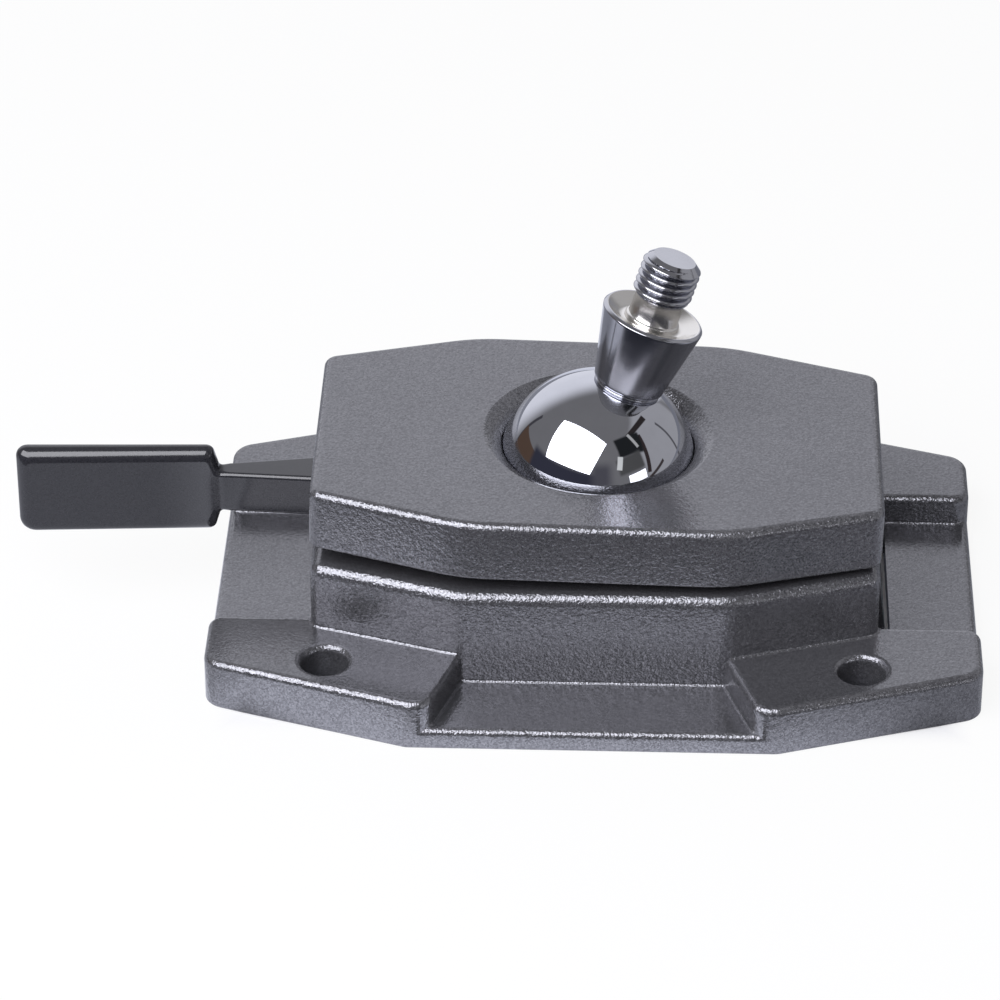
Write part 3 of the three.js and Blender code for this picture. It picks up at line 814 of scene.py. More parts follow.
@dataclass(frozen=True)
class DippedVinyl:
    """Black vinyl from a dip bath: smooth, glossy, very slightly wavy."""

    name: str = "black_vinyl"
    tint: Point3 = (0.018, 0.018, 0.022)
    pale: Point3 = (0.024, 0.024, 0.028)
    refraction: float = 1.64
    wave_scale: float = 70.0
    fine_scale: float = 1500.0
    depth: float = 0.00009

    def material(self) -> Material:
        """Builds the vinyl.

        Returns:
            The material.
        """
        shop = Shop(self.name)
        at = shop.place()
        wave = shop.noise(at, self.wave_scale, 1.0)
        fine = shop.noise(at, self.fine_scale, 3.0, 0.7)
        return shop.surface(
            base_color=shop.blend(fine.clipped(0.3, 0.7), self.tint, self.pale),
            roughness=fine * 0.04 + 0.1,
            ior=self.refraction,
            normal=shop.bump(wave * 0.96 + fine * 0.04, self.depth),
        )


@dataclass(frozen=True)
class MouldedPlastic:
    """Matt black moulded plastic."""

    name: str = "seat_plastic"
    tint: Point3 = (0.05, 0.05, 0.052)
    dark: Point3 = (0.034, 0.034, 0.036)
    grain_scale: float = 1800.0
    depth: float = 0.00002

    def material(self) -> Material:
        """Builds the plastic.

        Returns:
            The material.
        """
        shop = Shop(self.name)
        at = shop.place()
        grain = shop.noise(at, self.grain_scale, 3.0)
        return shop.surface(
            base_color=shop.blend(grain.clipped(0.3, 0.7), self.tint, self.dark),
            roughness=grain * 0.12 + 0.4,
            normal=shop.bump(grain, self.depth),
        )


class Finishes:
    """All the finishes, made once."""

    def __init__(self, joint: BallAndStud) -> None:
        """Builds every material.

        Args:
            joint: The ball and stud, which say where the turned hollow is.
        """
        self.paint = HammerPaint().material()
        self.chrome = PolishedMetal("chrome", (0.6, 0.61, 0.66), 0.02, 0.015).material()
        hollow, steel = joint.turned_hollow(), (0.52, 0.525, 0.565)
        self.plated = PolishedMetal("plated_steel", steel, 0.12, 0.06, hollow).material()
        self.bright = TurnedMetal("bright_steel", (0.6, 0.61, 0.63)).material()
        self.dark = TurnedMetal("dark_steel", (0.1, 0.1, 0.11), 0.4).material()
        self.vinyl = DippedVinyl().material()
        self.enamel = TurnedMetal("black_enamel", (0.02, 0.02, 0.023), 0.25, 0.0).material()
        self.brass = TurnedMetal("brass", (0.66, 0.5, 0.26), 0.25).material()
        self.plastic = MouldedPlastic().material()


@dataclass(frozen=True)
class Place:
    """Where a finished piece belongs: its body, its finish's slot and the nodes that it replaces."""

    body: str
    slot: str
    replaces: tuple[str, ...]


def finish_piece(piece: Piece, material: Material, place: Place) -> None:
    """Dresses a piece and puts it on its body.

    Args:
        piece: The mesh object.
        material: Its finish.
        place: Its body and the nodes that it replaces.
    """
    piece.data.materials.clear()
    piece.data.materials.append(material)
    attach(piece, place.body)
    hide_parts(*place.replaces)
    LOG.info("%s rides on %s with %d faces", piece.name, place.body, len(piece.data.polygons))


@dataclass
class CastSizes:
    """Sizes that the castings, the ball, the lever and the screw share."""

    screw_x: float = -39.0
    lever_turn: float = 3.0
    hub_clearance: float = 11.6
    arm_root: float = 9.9
    arm_end: float = 4.0
    arm_reach: float = 37.4
    hub: float = 11.0
    swing_from: float = -37.0
    swing_to: float = 13.0
    swing_stops: int = 5
    swing_margin: float = 0.6
    pocket_reach: float = 27.8
    hinge_x: float = 53.0
    hinge_z: float = 7.0
    pin_bore: float = 3.3
    ball_centre: float = 32.4

    def about_screw(self, degrees: float) -> Matrix:
        """From a frame about the screw, turned by an angle, to the part's frame."""
        turn = Matrix.Rotation(math.radians(degrees), 4, "Z")
        return Matrix.Translation((self.screw_x * MM, 0, 0)) @ turn

    def lever_pocket(self, low: float, high: float) -> Piece:
        """The space that the lever's hub and arm sweep, from one height to another, as a cutter.

        Args:
            low: The lower height, in millimetres.
            high: The upper one.

        Returns:
            The cutter.
        """
        root = self.arm_root / 2 + self.swing_margin
        slope = (self.arm_root - self.arm_end) / 2 / (self.arm_reach - self.hub)
        hub, reach = -self.hub, -self.pocket_reach
        tip = root + slope * (reach - hub)
        pocket = Bench.shift(Bench.rod("pocket", self.hub_clearance, low, high), self.screw_x)
        outline = [(0, root), (hub, root), (reach, tip), (reach, -tip), (hub, -root), (0, -root)]
        for i in range(self.swing_stops + 1):
            turn = self.swing_from + (self.swing_to - self.swing_from) * i / self.swing_stops
            arm = Bench.prism(f"sweep_{i}", outline, low, high)
            Bench.combine(pocket, Join.ADD, Bench.place(arm, self.about_screw(turn)))
        return pocket


@dataclass
class BaseCasting:
    """The cast base: foot slab, four lugs, raised body, cup and hollow underside.

    A boss or a spring's hole is given by its radius and its lower end, the cup's rim by how far it
    goes out and down, and the channel by its left and right ends and half its width. Cutters reach
    past what they cut by a spare length.
    """

    shared: CastSizes
    length: float = 154.8
    width: float = 107.0
    end_width: float = 80.2
    flat_length: float = 73.2
    floor: float = 4.2
    lug: float = 10.5
    corner: float = 5.0
    edge: float = 1.6
    recess_half: float = 23.6
    hole_x: float = 53.2
    hole_y: float = 38.9
    hole_radius: float = 4.6
    hole_edge: float = 1.5
    body_length: float = 113.6
    body_width: float = 73.0
    body_end: float = 54.2
    body_flat: float = 53.3
    body_height: float = 24.9
    body_corner: float = 3.0
    body_bend: float = 14.0
    body_edge: float = 2.6
    foot_fillet: float = 0.6
    fillet_lap: float = 0.05
    cove_margin: float = 0.9
    lug_root: float = 7.0
    lug_radii: tuple[float, ...] = (0.0, 4.0, 5.0, 5.0, 3.0, 0.0)
    recess_inner: float = 26.2
    recess_outer: float = 32.1
    cup_radius: float = 18.9
    cup_floor: float = 13.7
    cup_rim: Point2 = (0.7, 1.4)
    drain: float = 11.8
    pocket_floor: float = 21.45
    wall: float = 5.0
    ceiling: float = 17.0
    end_wall: float = 44.2
    cup_boss: Point2 = (24.5, 8.2)
    middle_foot: float = 8.0
    screw_boss: Point2 = (14.0, 11.0)
    screw_bore: float = 5.4
    counterbore: float = 12.0
    rib: float = 2.0
    rib_low: float = 5.0
    spring_at: Point2 = (-30.0, 21.5)
    spring_boss: Point2 = (6.3, 10.9)
    spring_hole: Point2 = (4.3, 14.9)
    channel: Point3 = (49.2, 59.8, 18.5)
    groove_half: float = 24.3
    spare: float = 2.0
    steps: int = 8
    rim_steps: int = 5

    @staticmethod
    def radii(corner: float, bend: float) -> list[float]:
        """An octagon's corner radii: at the ends, and at the gentle bends of its long sides."""
        return [corner, corner, bend, bend, corner, corner, bend, bend]

    def rounded_block(
        self, name: str, outline: Sequence[Point2], radii: Sequence[float], height: float, edge: float
    ) -> Piece:
        """A prism with round corners and a round upper rim."""
        block = Bench.prism(name, rounded(outline, radii, self.steps), 0, height)
        return Bench.round_rim(block, height, edge, self.rim_steps)

    def lug_corners(self) -> list[Point2]:
        """Corners of the right front lug, anticlockwise, with its inner part inside the body.

        Returns:
            The six sharp corners.
        """
        wall = (self.recess_outer - self.recess_inner) / (self.width / 2 - self.body_width / 2)
        inner = self.recess_inner - wall * self.lug_root
        return [
            (inner, self.lug_root - self.body_width / 2),
            (self.recess_outer, -self.width / 2),
            (self.flat_length / 2, -self.width / 2),
            (self.length / 2, -self.end_width / 2),
            (self.length / 2, -self.recess_half),
            (inner, -self.recess_half),
        ]

    def four(self, corners: Sequence[Point2], radii: Sequence[float]) -> list[list[Point2]]:
        """One rounded outline for each lug, mirrored from the first.

        Args:
            corners: The first lug's sharp corners.
            radii: A radius for each corner.

        Returns:
            Four outlines, all anticlockwise.
        """
        outline = rounded(corners, radii, self.steps)
        outlines = []
        for sx, sy in QUARTERS:
            turned = [(x * sx, y * sy) for x, y in outline]
            outlines.append(turned if sx * sy > 0 else turned[::-1])
        return outlines

    def lugs(self) -> list[Piece]:
        """The four bolt lugs, with their upper edges rounded all the way round.

        Returns:
            The lugs, as solids.
        """
        outlines = self.four(self.lug_corners(), self.lug_radii)
        lugs = [Bench.prism("lug", outline, 0, self.lug) for outline in outlines]
        return [Bench.round_rim(lug, self.lug, self.edge, self.rim_steps) for lug in lugs]

    def cove(self, corners: Sequence[Point2], radii: Sequence[float], foot: float) -> list[tuple]:
        """Levels of a concave fillet round an outline that stands on a floor.

        Args:
            corners: The sharp corners of what stands on the floor.
            radii: A radius for each corner.
            foot: The floor's height.

        Returns:
            A height and an outline for each level.
        """
        radius = self.foot_fillet
        curve = arc((radius, foot + radius), radius, -90, -180, 4)
        lap = self.fillet_lap
        rings = []
        for out, height in [(radius, foot - radius), *curve, (-lap, foot + radius + lap)]:
            wider = [radius + out if radius else 0 for radius in radii]
            rings.append((height, rounded(widened(corners, out), wider, self.steps)))
        return rings

    def coves(self) -> list[Piece]:
        """Concave fillets where the body and the lugs rise, trimmed clear of the outer edges.

        Returns:
            The fillets, as solids.
        """
        body = octagon(self.body_length, self.body_width, self.body_end, self.body_flat)
        body_radii = self.radii(self.body_corner, self.body_bend)
        low = Bench.loft("low_cove", self.cove(body, body_radii, self.floor))
        high = Bench.loft("high_cove", self.cove(body, body_radii, self.lug))
        plan = widened(self.lug_corners(), -self.cove_margin)
        outlines = self.four(plan, [0] * len(plan))
        lands = [Bench.prism("land", o, self.lug - 1, self.lug + self.spare) for o in outlines]
        Bench.combine(lands[0], Join.ADD, *lands[1:])
        Bench.combine(high, Join.KEEP, lands[0])
        slab = octagon(self.length, self.width, self.end_width, self.flat_length)
        trimmed = widened(slab, -self.cove_margin)
        coves = [low, high]
        for sx, sy in QUARTERS:
            foot = Bench.loft("lug_cove", self.cove(self.lug_corners(), self.lug_radii, self.floor))
            Bench.outward(Bench.place(foot, Matrix.Diagonal((sx, sy, 1, 1))))
            limit = Bench.prism("limit", trimmed, self.spare, self.floor + self.spare)
            coves.append(Bench.combine(foot, Join.KEEP, limit))
        return coves

    def mounting_cutter(self, x: float, y: float) -> Piece:
        """A bolt hole with a softened rim.

        Args:
            x: The bolt's place along the base.
            y: Its place across the base.

        Returns:
            The cutter.
        """
        low = self.lug - self.hole_edge
        wide, over = self.hole_radius + self.hole_edge, self.lug + self.spare
        rim = arc((wide, low), self.hole_edge, 180, 90, 5)
        start = [(0, -self.spare), (self.hole_radius, -self.spare)]
        profile = [*start, *rim, (wide, over), (0, over)]
        return Bench.shift(Bench.spun("hole", profile, 64), x, y)

    def hollow(self) -> Piece:
        """The hollow under the body, less the bosses and ribs.

        Returns:
            The cutter.
        """
        outline = octagon(
            self.body_length - 2 * self.wall,
            self.body_width - 2 * self.wall,
            self.body_end - self.wall * 1.16,
            self.body_flat - self.wall * 0.4,
        )
        past, rib, low, far = self.ceiling + 3, self.rib, self.rib_low, self.length
        parts = [
            Bench.block("right", (self.end_wall, -far, -self.spare), (far, far, past)),
            Bench.rod("cup_boss", *self.cup_boss, past),
            Bench.rod("foot", self.middle_foot, -self.spare, past),
            Bench.shift(Bench.rod("screw_boss", *self.screw_boss, past), self.shared.screw_x),
            Bench.block("rib_long", (2 * rib, -rib, low), (60, rib, past)),
            Bench.block("rib_cross", (-rib, -60, low), (rib, 60, past)),
            Bench.block("rib_left", (-60, -rib, self.screw_boss[1]), (-2 * rib, rib, past)),
            *self.at_springs(self.spring_boss, past, 64),
        ]
        return Bench.combine(Bench.prism("hollow", outline, -1, self.ceiling), Join.CUT, *parts)

    def at_springs(self, size: Point2, top: float, sides: int) -> list[Piece]:
        """A round bar, of a radius and a lower height, at the place of each lift spring."""
        x, y = self.spring_at
        return [Bench.shift(Bench.rod("spring", *size, top, sides), x, side) for side in (-y, y)]

    def cup(self) -> Piece:
        """The stepped bore for the seat and the ball.

        Returns:
            The cutter.
        """
        top, radius, (out, down) = self.body_height, self.cup_radius, self.cup_rim
        profile = [
            (0, self.drain),
            (self.drain, self.drain),
            (self.drain, self.cup_floor),
            (radius, self.cup_floor),
            (radius, top - down),
            (radius + out, top),
            (radius + out, top + 3),
            (0, top + 3),
        ]
        return Bench.spun("cup", profile, 96)

    def build(self) -> Piece:
        """Models the base.

        Returns:
            The finished mesh in its place.
        """
        outline = octagon(self.length, self.width, self.end_width, self.flat_length)
        radii = self.radii(self.corner, self.corner)
        base = self.rounded_block("cast_base", outline, radii, self.floor, self.edge)
        body_outline = octagon(self.body_length, self.body_width, self.body_end, self.body_flat)
        radii = self.radii(self.body_corner, self.body_bend)
        body = self.rounded_block("body", body_outline, radii, self.body_height, self.body_edge)
        Bench.combine(base, Join.ADD, *self.lugs(), body, *self.coves())
        Bench.tidy(base, 0.02)
        shared = self.shared
        holes = [
            self.mounting_cutter(x, y)
            for x in (-self.hole_x, self.hole_x)
            for y in (-self.hole_y, self.hole_y)
        ]
        under, past, half = -self.spare, self.body_height + 7, self.groove_half
        low = (shared.hinge_x - shared.pin_bore, -half, under)
        high = (shared.hinge_x + shared.pin_bore, half, shared.hinge_z)
        left, right, side = self.channel
        groove = Bench.place(Bench.rod("groove", shared.pin_bore, -half, half, 32), UPRIGHT)
        head = Bench.rod("counterbore", self.counterbore, under, self.screw_boss[1], 48)
        cutters = [
            *holes,
            self.cup(),
            self.hollow(),
            Bench.block("channel", (left, -side, under), (right, side, past)),
            Bench.shift(Bench.rod("bore", self.screw_bore, under, past, 48), shared.screw_x),
            Bench.shift(head, shared.screw_x),
            Bench.shift(groove, shared.hinge_x, 0, shared.hinge_z),
            Bench.block("groove_mouth", low, high),
            shared.lever_pocket(self.pocket_floor, past),
            *self.at_springs(self.spring_hole, past, 32),
        ]
        Bench.combine(base, Join.CUT, *cutters)
        Bench.tidy(base, 0.05)
        return Bench.smooth(base, even=True)


@dataclass
class ClampPlate:
    """The cast top plate with the ball's opening and its claw, in its own tilted frame.

    The slot's neck is given by half its width and its top, the slot's wide part by half its width,
    its bottom and its top, and the pin's hole by its distance from the screw, its radius and its top.
    """

    shared: CastSizes
    length: float = 113.8
    width: float = 71.8
    end_width: float = 52.4
    flat_length: float = 52.3
    thickness: float = 12.8
    corner: float = 3.0
    bend: float = 34.0
    edge: float = 1.7
    lower_edge: float = 0.6
    height: float = 27.6
    tilt: float = 0.023
    opening: float = 23.4
    lip: float = 19.5
    lip_depth: float = 3.0
    lip_slope: float = 1.6
    land: float = 0.25
    seat_bore: float = 23.8
    claw_half: float = 17.7
    claw_inner: float = 50.0
    claw_bottom: float = 1.1
    claw_outer: Point2 = (58.8, 4.2)
    toe: float = 2.6
    pocket_top: float = 3.55
    screw_height: float = 28.5
    slot_end: float = 8.3
    slot_neck: Point2 = (6.3, 6.2)
    slot_wide: Point3 = (9.5, 5.95, 10.35)
    pin_hole: Point3 = (10.1, 1.8, 11.85)
    below: float = -6.0

    def frame(self) -> Matrix:
        """From the plate's own frame to the part's."""
        return Matrix.Translation((0, 0, self.height * MM)) @ Matrix.Rotation(self.tilt, 4, "Y")

    def own(self, x: float, z: float) -> Point2:
        """A point of the part's frame in the plate's own, both in millimetres."""
        point = self.frame().inverted() @ Vector((x * MM, 0, z * MM))
        return point.x / MM, point.z / MM

    def bore(self) -> Piece:
        """The opening, from above: a round lip, a short land and the seat's counterbore.

        Returns:
            The cutter.
        """
        x, _ = self.own(0, self.shared.ball_centre)
        top = self.thickness
        lip_bottom = top - self.lip_depth - self.land
        wide = self.opening - self.lip
        curve = []
        for across, up in arc((0, 0), 1.0, 0, 90, 12):
            radius = self.opening - wide * abs(across) ** self.lip_slope
            curve.append((radius, top - self.lip_depth * (1 - up**self.lip_slope)))
        profile = [
            (0, self.below),
            (self.seat_bore, self.below),
            (self.seat_bore, lip_bottom),
            (self.lip, lip_bottom),
            *curve,
            (self.opening + 0.4, top + 0.05),
            (self.opening + 0.4, top + 3),
            (0, top + 3),
        ]
        return Bench.shift(Bench.spun("bore", profile, 128), x)

    def claw(self) -> Piece:
        """The hook that hangs at the right end.

        Returns:
            The hook, with its mouth for the hinge pin.
        """
        shared = self.shared
        pin_x, pin_z = self.own(shared.hinge_x, shared.hinge_z)
        inner, bottom = self.own(self.claw_inner, self.claw_bottom)
        outer, _ = self.own(*self.claw_outer)
        toe, half = self.toe, self.claw_half
        side = [
            (inner, bottom),
            (outer - toe / 2, bottom),
            (outer, bottom + toe / 2),
            (outer, bottom + toe),
            (self.length / 2 - self.edge, self.thickness / 2),
            (inner, self.thickness / 2),
        ]
        radii = [0.5, 0.8, 0.8, 1.5, 0.0, 0.0]
        claw = Bench.place(Bench.prism("claw", rounded(side, radii, 4), -half, half), UPRIGHT)
        bore = Bench.rod("claw_bore", shared.pin_bore, -half - 2, half + 2, 32)
        Bench.shift(Bench.place(bore, UPRIGHT), pin_x, 0, pin_z)
        low = (inner - 5, -half - 2, pin_z - shared.pin_bore)
        high = (pin_x, half + 2, pin_z + shared.pin_bore)
        return Bench.combine(claw, Join.CUT, bore, Bench.block("mouth", low, high))

    def build(self) -> Piece:
        """Models the plate.

        Returns:
            The finished mesh in its place.
        """
        outline = octagon(self.length, self.width, self.end_width, self.flat_length)
        shape = rounded(outline, BaseCasting.radii(self.corner, self.bend), 8)
        plate = Bench.prism("cast_plate", shape, 0, self.thickness)
        Bench.round_rim(plate, self.thickness, self.edge, 6)
        Bench.round_rim(plate, 0, self.lower_edge, 3)
        Bench.combine(plate, Join.ADD, self.claw())
        screw_x, _ = self.own(self.shared.screw_x, self.screw_height)
        left, right = -self.length, screw_x + self.slot_end
        neck, neck_top = self.slot_neck
        wide, wide_low, wide_high = self.slot_wide
        back, pin, pin_top = self.pin_hole
        cutters = [
            self.bore(),
            self.shared.lever_pocket(self.below, self.pocket_top),
            Bench.block("slot_neck", (left, -neck, 0), (right, neck, neck_top)),
            Bench.block("slot_wide", (left, -wide, wide_low), (right, wide, wide_high)),
            Bench.shift(Bench.rod("pin_hole", pin, -2, pin_top, 24), screw_x - back),
        ]
        Bench.combine(plate, Join.CUT, *cutters)
        Bench.tidy(plate, 0.05)
        return Bench.smooth(Bench.place(plate, self.frame()), even=True)


@dataclass
class BallAndStud:
    """The ball, its neck ring and the turned stud, along the stud's axis."""

    shared: CastSizes
    ball_radius: float = 20.0
    lean: float = 19.05
    direction: float = 19.4
    ring_radius: float = 6.9
    ring_thickness: float = 0.5
    ring_lift: float = 0.02
    cone_lift: float = 0.1
    spigot: float = 4.0
    spigot_chamfer: float = 0.5
    gap: float = 0.3
    cone_foot: float = 7.25
    foot_rounding: float = 0.6
    cone_top: float = 10.4
    cone_length: float = 16.0
    rim: float = 0.9
    dish: float = 1.7
    collar: float = 5.6
    collar_height: float = 1.2
    relief: float = 5.1
    relief_length: float = 4.6
    thread: float = 6.0
    thread_root: float = 5.0
    pitch: float = 1.5
    thread_length: float = 8.85
    groove_softness: float = 0.16
    chamfer: float = 1.65
    chamfer_slope: float = 1.12
    rows: int = 132
    dish_fillet: float = 0.9
    spigot_length: float = 15.0

    @property
    def flat(self) -> float:
        """Height of the flat where the neck ring sits."""
        return math.sqrt(self.ball_radius**2 - self.ring_radius**2)

    @property
    def foot(self) -> float:
        """Height of the cone's lower end."""
        return self.flat + self.ring_thickness + self.cone_lift

    def frame(self) -> Matrix:
        """From the stud's upright frame to the part's.

        Returns:
            The matrix, in metres.
        """
        lean = Matrix.Rotation(math.radians(self.lean), 4, "Y")
        turn = Matrix.Rotation(math.radians(self.direction), 4, "Z")
        return Matrix.Translation((0, 0, self.shared.ball_centre * MM)) @ turn @ lean

    def turned_hollow(self) -> tuple[Matrix, float, float, float]:
        """Where the dish and the relief are: the stud's frame, their radius and their heights.

        Returns:
            The frame, and the radius and two heights in metres.
        """
        top = self.foot + self.cone_length
        floor = top - self.dish
        relief = floor + self.collar_height + self.relief_length - 0.3
        return self.frame(), (self.cone_top - self.rim) * MM, (floor - 0.3) * MM, relief * MM

    def ball(self) -> Piece:
        """The ball with the flat and the bore for the spigot.

        Returns:
            The finished mesh in its place.
        """
        bore = self.spigot + self.gap
        start = -math.degrees(math.acos(bore / self.ball_radius))
        end = math.degrees(math.asin(self.flat / self.ball_radius))
        profile = [*arc((0, 0), self.ball_radius, start, end, 96), (bore, self.flat)]
        return Bench.smooth(Bench.place(Bench.spun("chrome_ball", profile, 160), self.frame()), 30)

    def ring(self) -> Piece:
        """The thin ring under the cone, with its edges broken.

        Returns:
            The finished mesh in its place.
        """
        low = self.flat + self.ring_lift
        high = low + self.ring_thickness
        soft = self.ring_thickness / 2 - 0.01
        profile = [
            (self.spigot + self.gap, low),
            *arc((self.ring_radius - soft, low + soft), soft, -90, 0, 4),
            *arc((self.ring_radius - soft, high - soft), soft, 0, 90, 4),
            (self.spigot + self.gap, high),
        ]
        return Bench.smooth(Bench.place(Bench.spun("stud_ring", profile, 96), self.frame()), 30)

    def thread_radius(self, height: float, angle: float, low: float, high: float) -> float:
        """Radius of the threaded length at a height and an angle.

        Args:
            height: Height along the stud.
            angle: Angle round it, in radians.
            low: Where the thread starts.
            high: Where the stud ends.

        Returns:
            The radius, kept inside the run-out below and the chamfer above.
        """
        soft = self.groove_softness
        swing = math.hypot(math.sin(math.pi * (height / self.pitch - angle / math.tau)), soft)
        tooth = (swing - soft) / (math.hypot(1, soft) - soft)
        helix = self.thread_root + (self.thread - self.thread_root) * tooth**0.8
        run_out = self.relief + (height - low)
        chamfer = self.thread - self.chamfer + (high - height) * self.chamfer_slope
        return min(helix, run_out, chamfer)

    def stud(self) -> Piece:
        """The turned stud: spigot, cone, dish, collar, relief and a real thread.

        Returns:
            The finished mesh in its place.
        """
        foot, spigot, collar = self.foot, self.spigot, self.collar
        top = foot + self.cone_length
        dish = top - self.dish
        shoulder = dish + self.collar_height
        start = shoulder + self.relief_length
        end = start + self.thread_length
        fillet = self.cone_foot - self.foot_rounding
        tail, crown = foot - self.spigot_length, self.cone_top - self.rim
        ridge = crown + self.rim / 2
        heights = [start + (end - start) * i / self.rows for i in range(1, self.rows)]
        floor = collar + self.dish_fillet
        profile = [
            (0, tail),
            (spigot - self.spigot_chamfer, tail),
            (spigot, tail + self.spigot_chamfer),
            (spigot, foot),
            *arc((fillet, foot + self.foot_rounding), self.foot_rounding, -90, -10, 8),
            (self.cone_foot, foot + self.foot_rounding),
            (self.cone_top - 0.05, top - self.rim),
            *arc((self.cone_top - 0.3, top - self.rim + 0.25), 0.3, 0, 60, 3)[1:],
            (ridge, top - 0.06),
            (ridge - 0.2, top),
            (crown, top - 0.05),
            (crown - 0.15, top - 0.14),
            (floor + 0.5, dish + 0.25),
            (floor, dish + 0.05),
            (collar + 0.35, dish + 0.02),
            (collar + 0.08, dish + 0.12),
            (collar, dish + 0.35),
            (collar, shoulder - 0.3),
            (collar - 0.1, shoulder - 0.1),
            (collar - 0.3, shoulder),
            (self.relief + 0.1, shoulder + 0.02),
            (self.relief, shoulder + 0.15),
            (self.relief, start - 0.05),
            *[(self.thread, height) for height in heights],
            (self.thread - self.chamfer, end),
            (0, end),
        ]
        stud = Bench.spun("turned_stud", profile, 144)
        radius = functools.partial(self.thread_radius, low=start, high=end)
        Bench.turn_down(stud, heights[0] - 0.001, heights[-1] + 0.001, radius)
        Bench.smooth(stud, 42)
        Bench.crease(stud, Bench.edges_at(end, heights[-1]))
        return Bench.place(stud, self.frame())


@dataclass(frozen=True)
class Rim:
    """How wide the lever's round rim is in places, and the outline's corner radii inside it."""

    tip: float
    long: float
    shoulder: float
    arm: float
    radii: tuple[float, ...]


@dataclass
class Lever:
    """The dipped lever about its screw, pointing to -X before it is turned."""

    shared: CastSizes
    start: float = 16.5
    blade: float = 41.05
    low: float = 17.4
    high: float = 36.85
    rise: float = 0.35
    arm_low: float = 22.25
    arm_high: float = 31.5
    shoulder: float = 1.4
    thickness: float = 4.2
    flare: float = 0.45
    neck_rim: float = 0.95
    neck_end: float = 4.2
    skin: float = 0.8
    blend: float = 2.0
    rounding: int = 16
    skirt: Rim = Rim(0, 0, 0, 0, (3.2, 1.7, 1.4, 0, 0, 1.4, 1.7, 2.1))
    face: Rim = Rim(2.3, 2.7, 1.4, 0.95, (1.4, 0.8, 1.4, 0, 0, 1.4, 0.8, 1.2))

    @property
    def near(self) -> float:
        """Where the blade starts, from the screw."""
        return self.shared.arm_reach

    def half_width(self, distance: float) -> float:
        """Half the lever's thickness at a distance from the screw.

        Args:
            distance: The distance from the screw.

        Returns:
            Half the thickness there.
        """
        root, hub = self.shared.arm_root, self.shared.hub
        slope = (root - self.neck_end) / 2 / (self.near - hub)
        arm = root / 2 - slope * (min(distance, self.near) - hub)
        blade = self.thickness / 2 + self.flare * max(0.0, distance - self.near) / self.blade
        return arm + (blade - arm) * self.bladed(distance)

    def bladed(self, distance: float) -> float:
        """How far the neck has become the blade at a distance from the screw, from 0 to 1."""
        return min(1.0, max(0.0, (distance - self.near + self.blend) / (2 * self.blend)))

    def sideways(self, distance: float, share: float) -> float:
        """Where a ring of the skin lies across the lever.

        Args:
            distance: The distance from the screw.
            share: The ring's place, from -1 at the rear face to 1 at the front face.

        Returns:
            The offset in millimetres. The neck keeps a flat back and top between its round rims.
        """
        half = self.half_width(distance)
        rim = self.neck_rim + (half - self.neck_rim) * self.bladed(distance)
        return math.copysign(half - rim + rim * abs(share), share) if abs(share) > 1e-6 else 0.0

    def side(self, edge: Rim) -> list[Point2]:
        """The lever's outline from the side, drawn in by its rim's widths.

        Args:
            edge: The rim whose widths draw the outline in.

        Returns:
            Points along the lever and upwards.
        """
        far = self.near + self.blade - edge.tip
        slant = self.near + self.shoulder + edge.shoulder
        joint = self.near + edge.shoulder
        low, high = self.arm_low + edge.arm, self.arm_high - edge.arm
        corners = [
            (-far, self.low + edge.long),
            (-slant, self.low + edge.long),
            (-joint, low),
            (-self.start, low),
            (-self.start, high),
            (-joint, high),
            (-slant, self.high - edge.long),
            (-far, self.high + self.rise - edge.long),
        ]
        return rounded(corners, edge.radii, 7)

    def grip(self) -> Piece:
        """The dipped skin: blade and neck in one, with round rims and a hollow at the hub's end.

        Returns:
            The finished mesh in its place.
        """
        outer, inner = self.side(self.skirt), self.side(self.face)
        rings = []
        for inward, across in arc((0, 0), 1.0, -90, 90, self.rounding):
            ring = [tuple(Vector(a).lerp(Vector(b), 1 - inward)) for a, b in zip(outer, inner)]
            rings.append((across, ring))
        grip = Bench.place(Bench.loft("dipped_grip", rings), UPRIGHT)
        for share in (-1.0, -0.5, 0.0, 0.5, 1.0):
            Bench.pick(grip, Part.FACES)
            cut = (share * self.blend - self.near) * MM
            bpy.ops.mesh.bisect(plane_co=(cut, 0, 0), plane_no=(1, 0, 0))
        Bench.clear()
        for vertex in grip.data.vertices:
            vertex.co.y = self.sideways(-vertex.co.x / MM, vertex.co.y / MM) * MM
        Bench.combine(grip, Join.CUT, self.socket())
        Bench.place(grip, self.shared.about_screw(self.shared.lever_turn))
        return Bench.smooth(grip, 40, even=True)

    def socket(self) -> Piece:
        """The hollow that the steel arm fills.

        Returns:
            The cutter.
        """
        skin = self.skin
        root = self.half_width(self.start) - skin
        tip = self.neck_end / 2 - skin
        near, far = 2 - self.start, -self.near - 3
        outline = [(near, -root), (near, root), (far, tip), (far, -tip)]
        return Bench.prism("socket", outline, self.arm_low + skin, self.arm_high - skin)


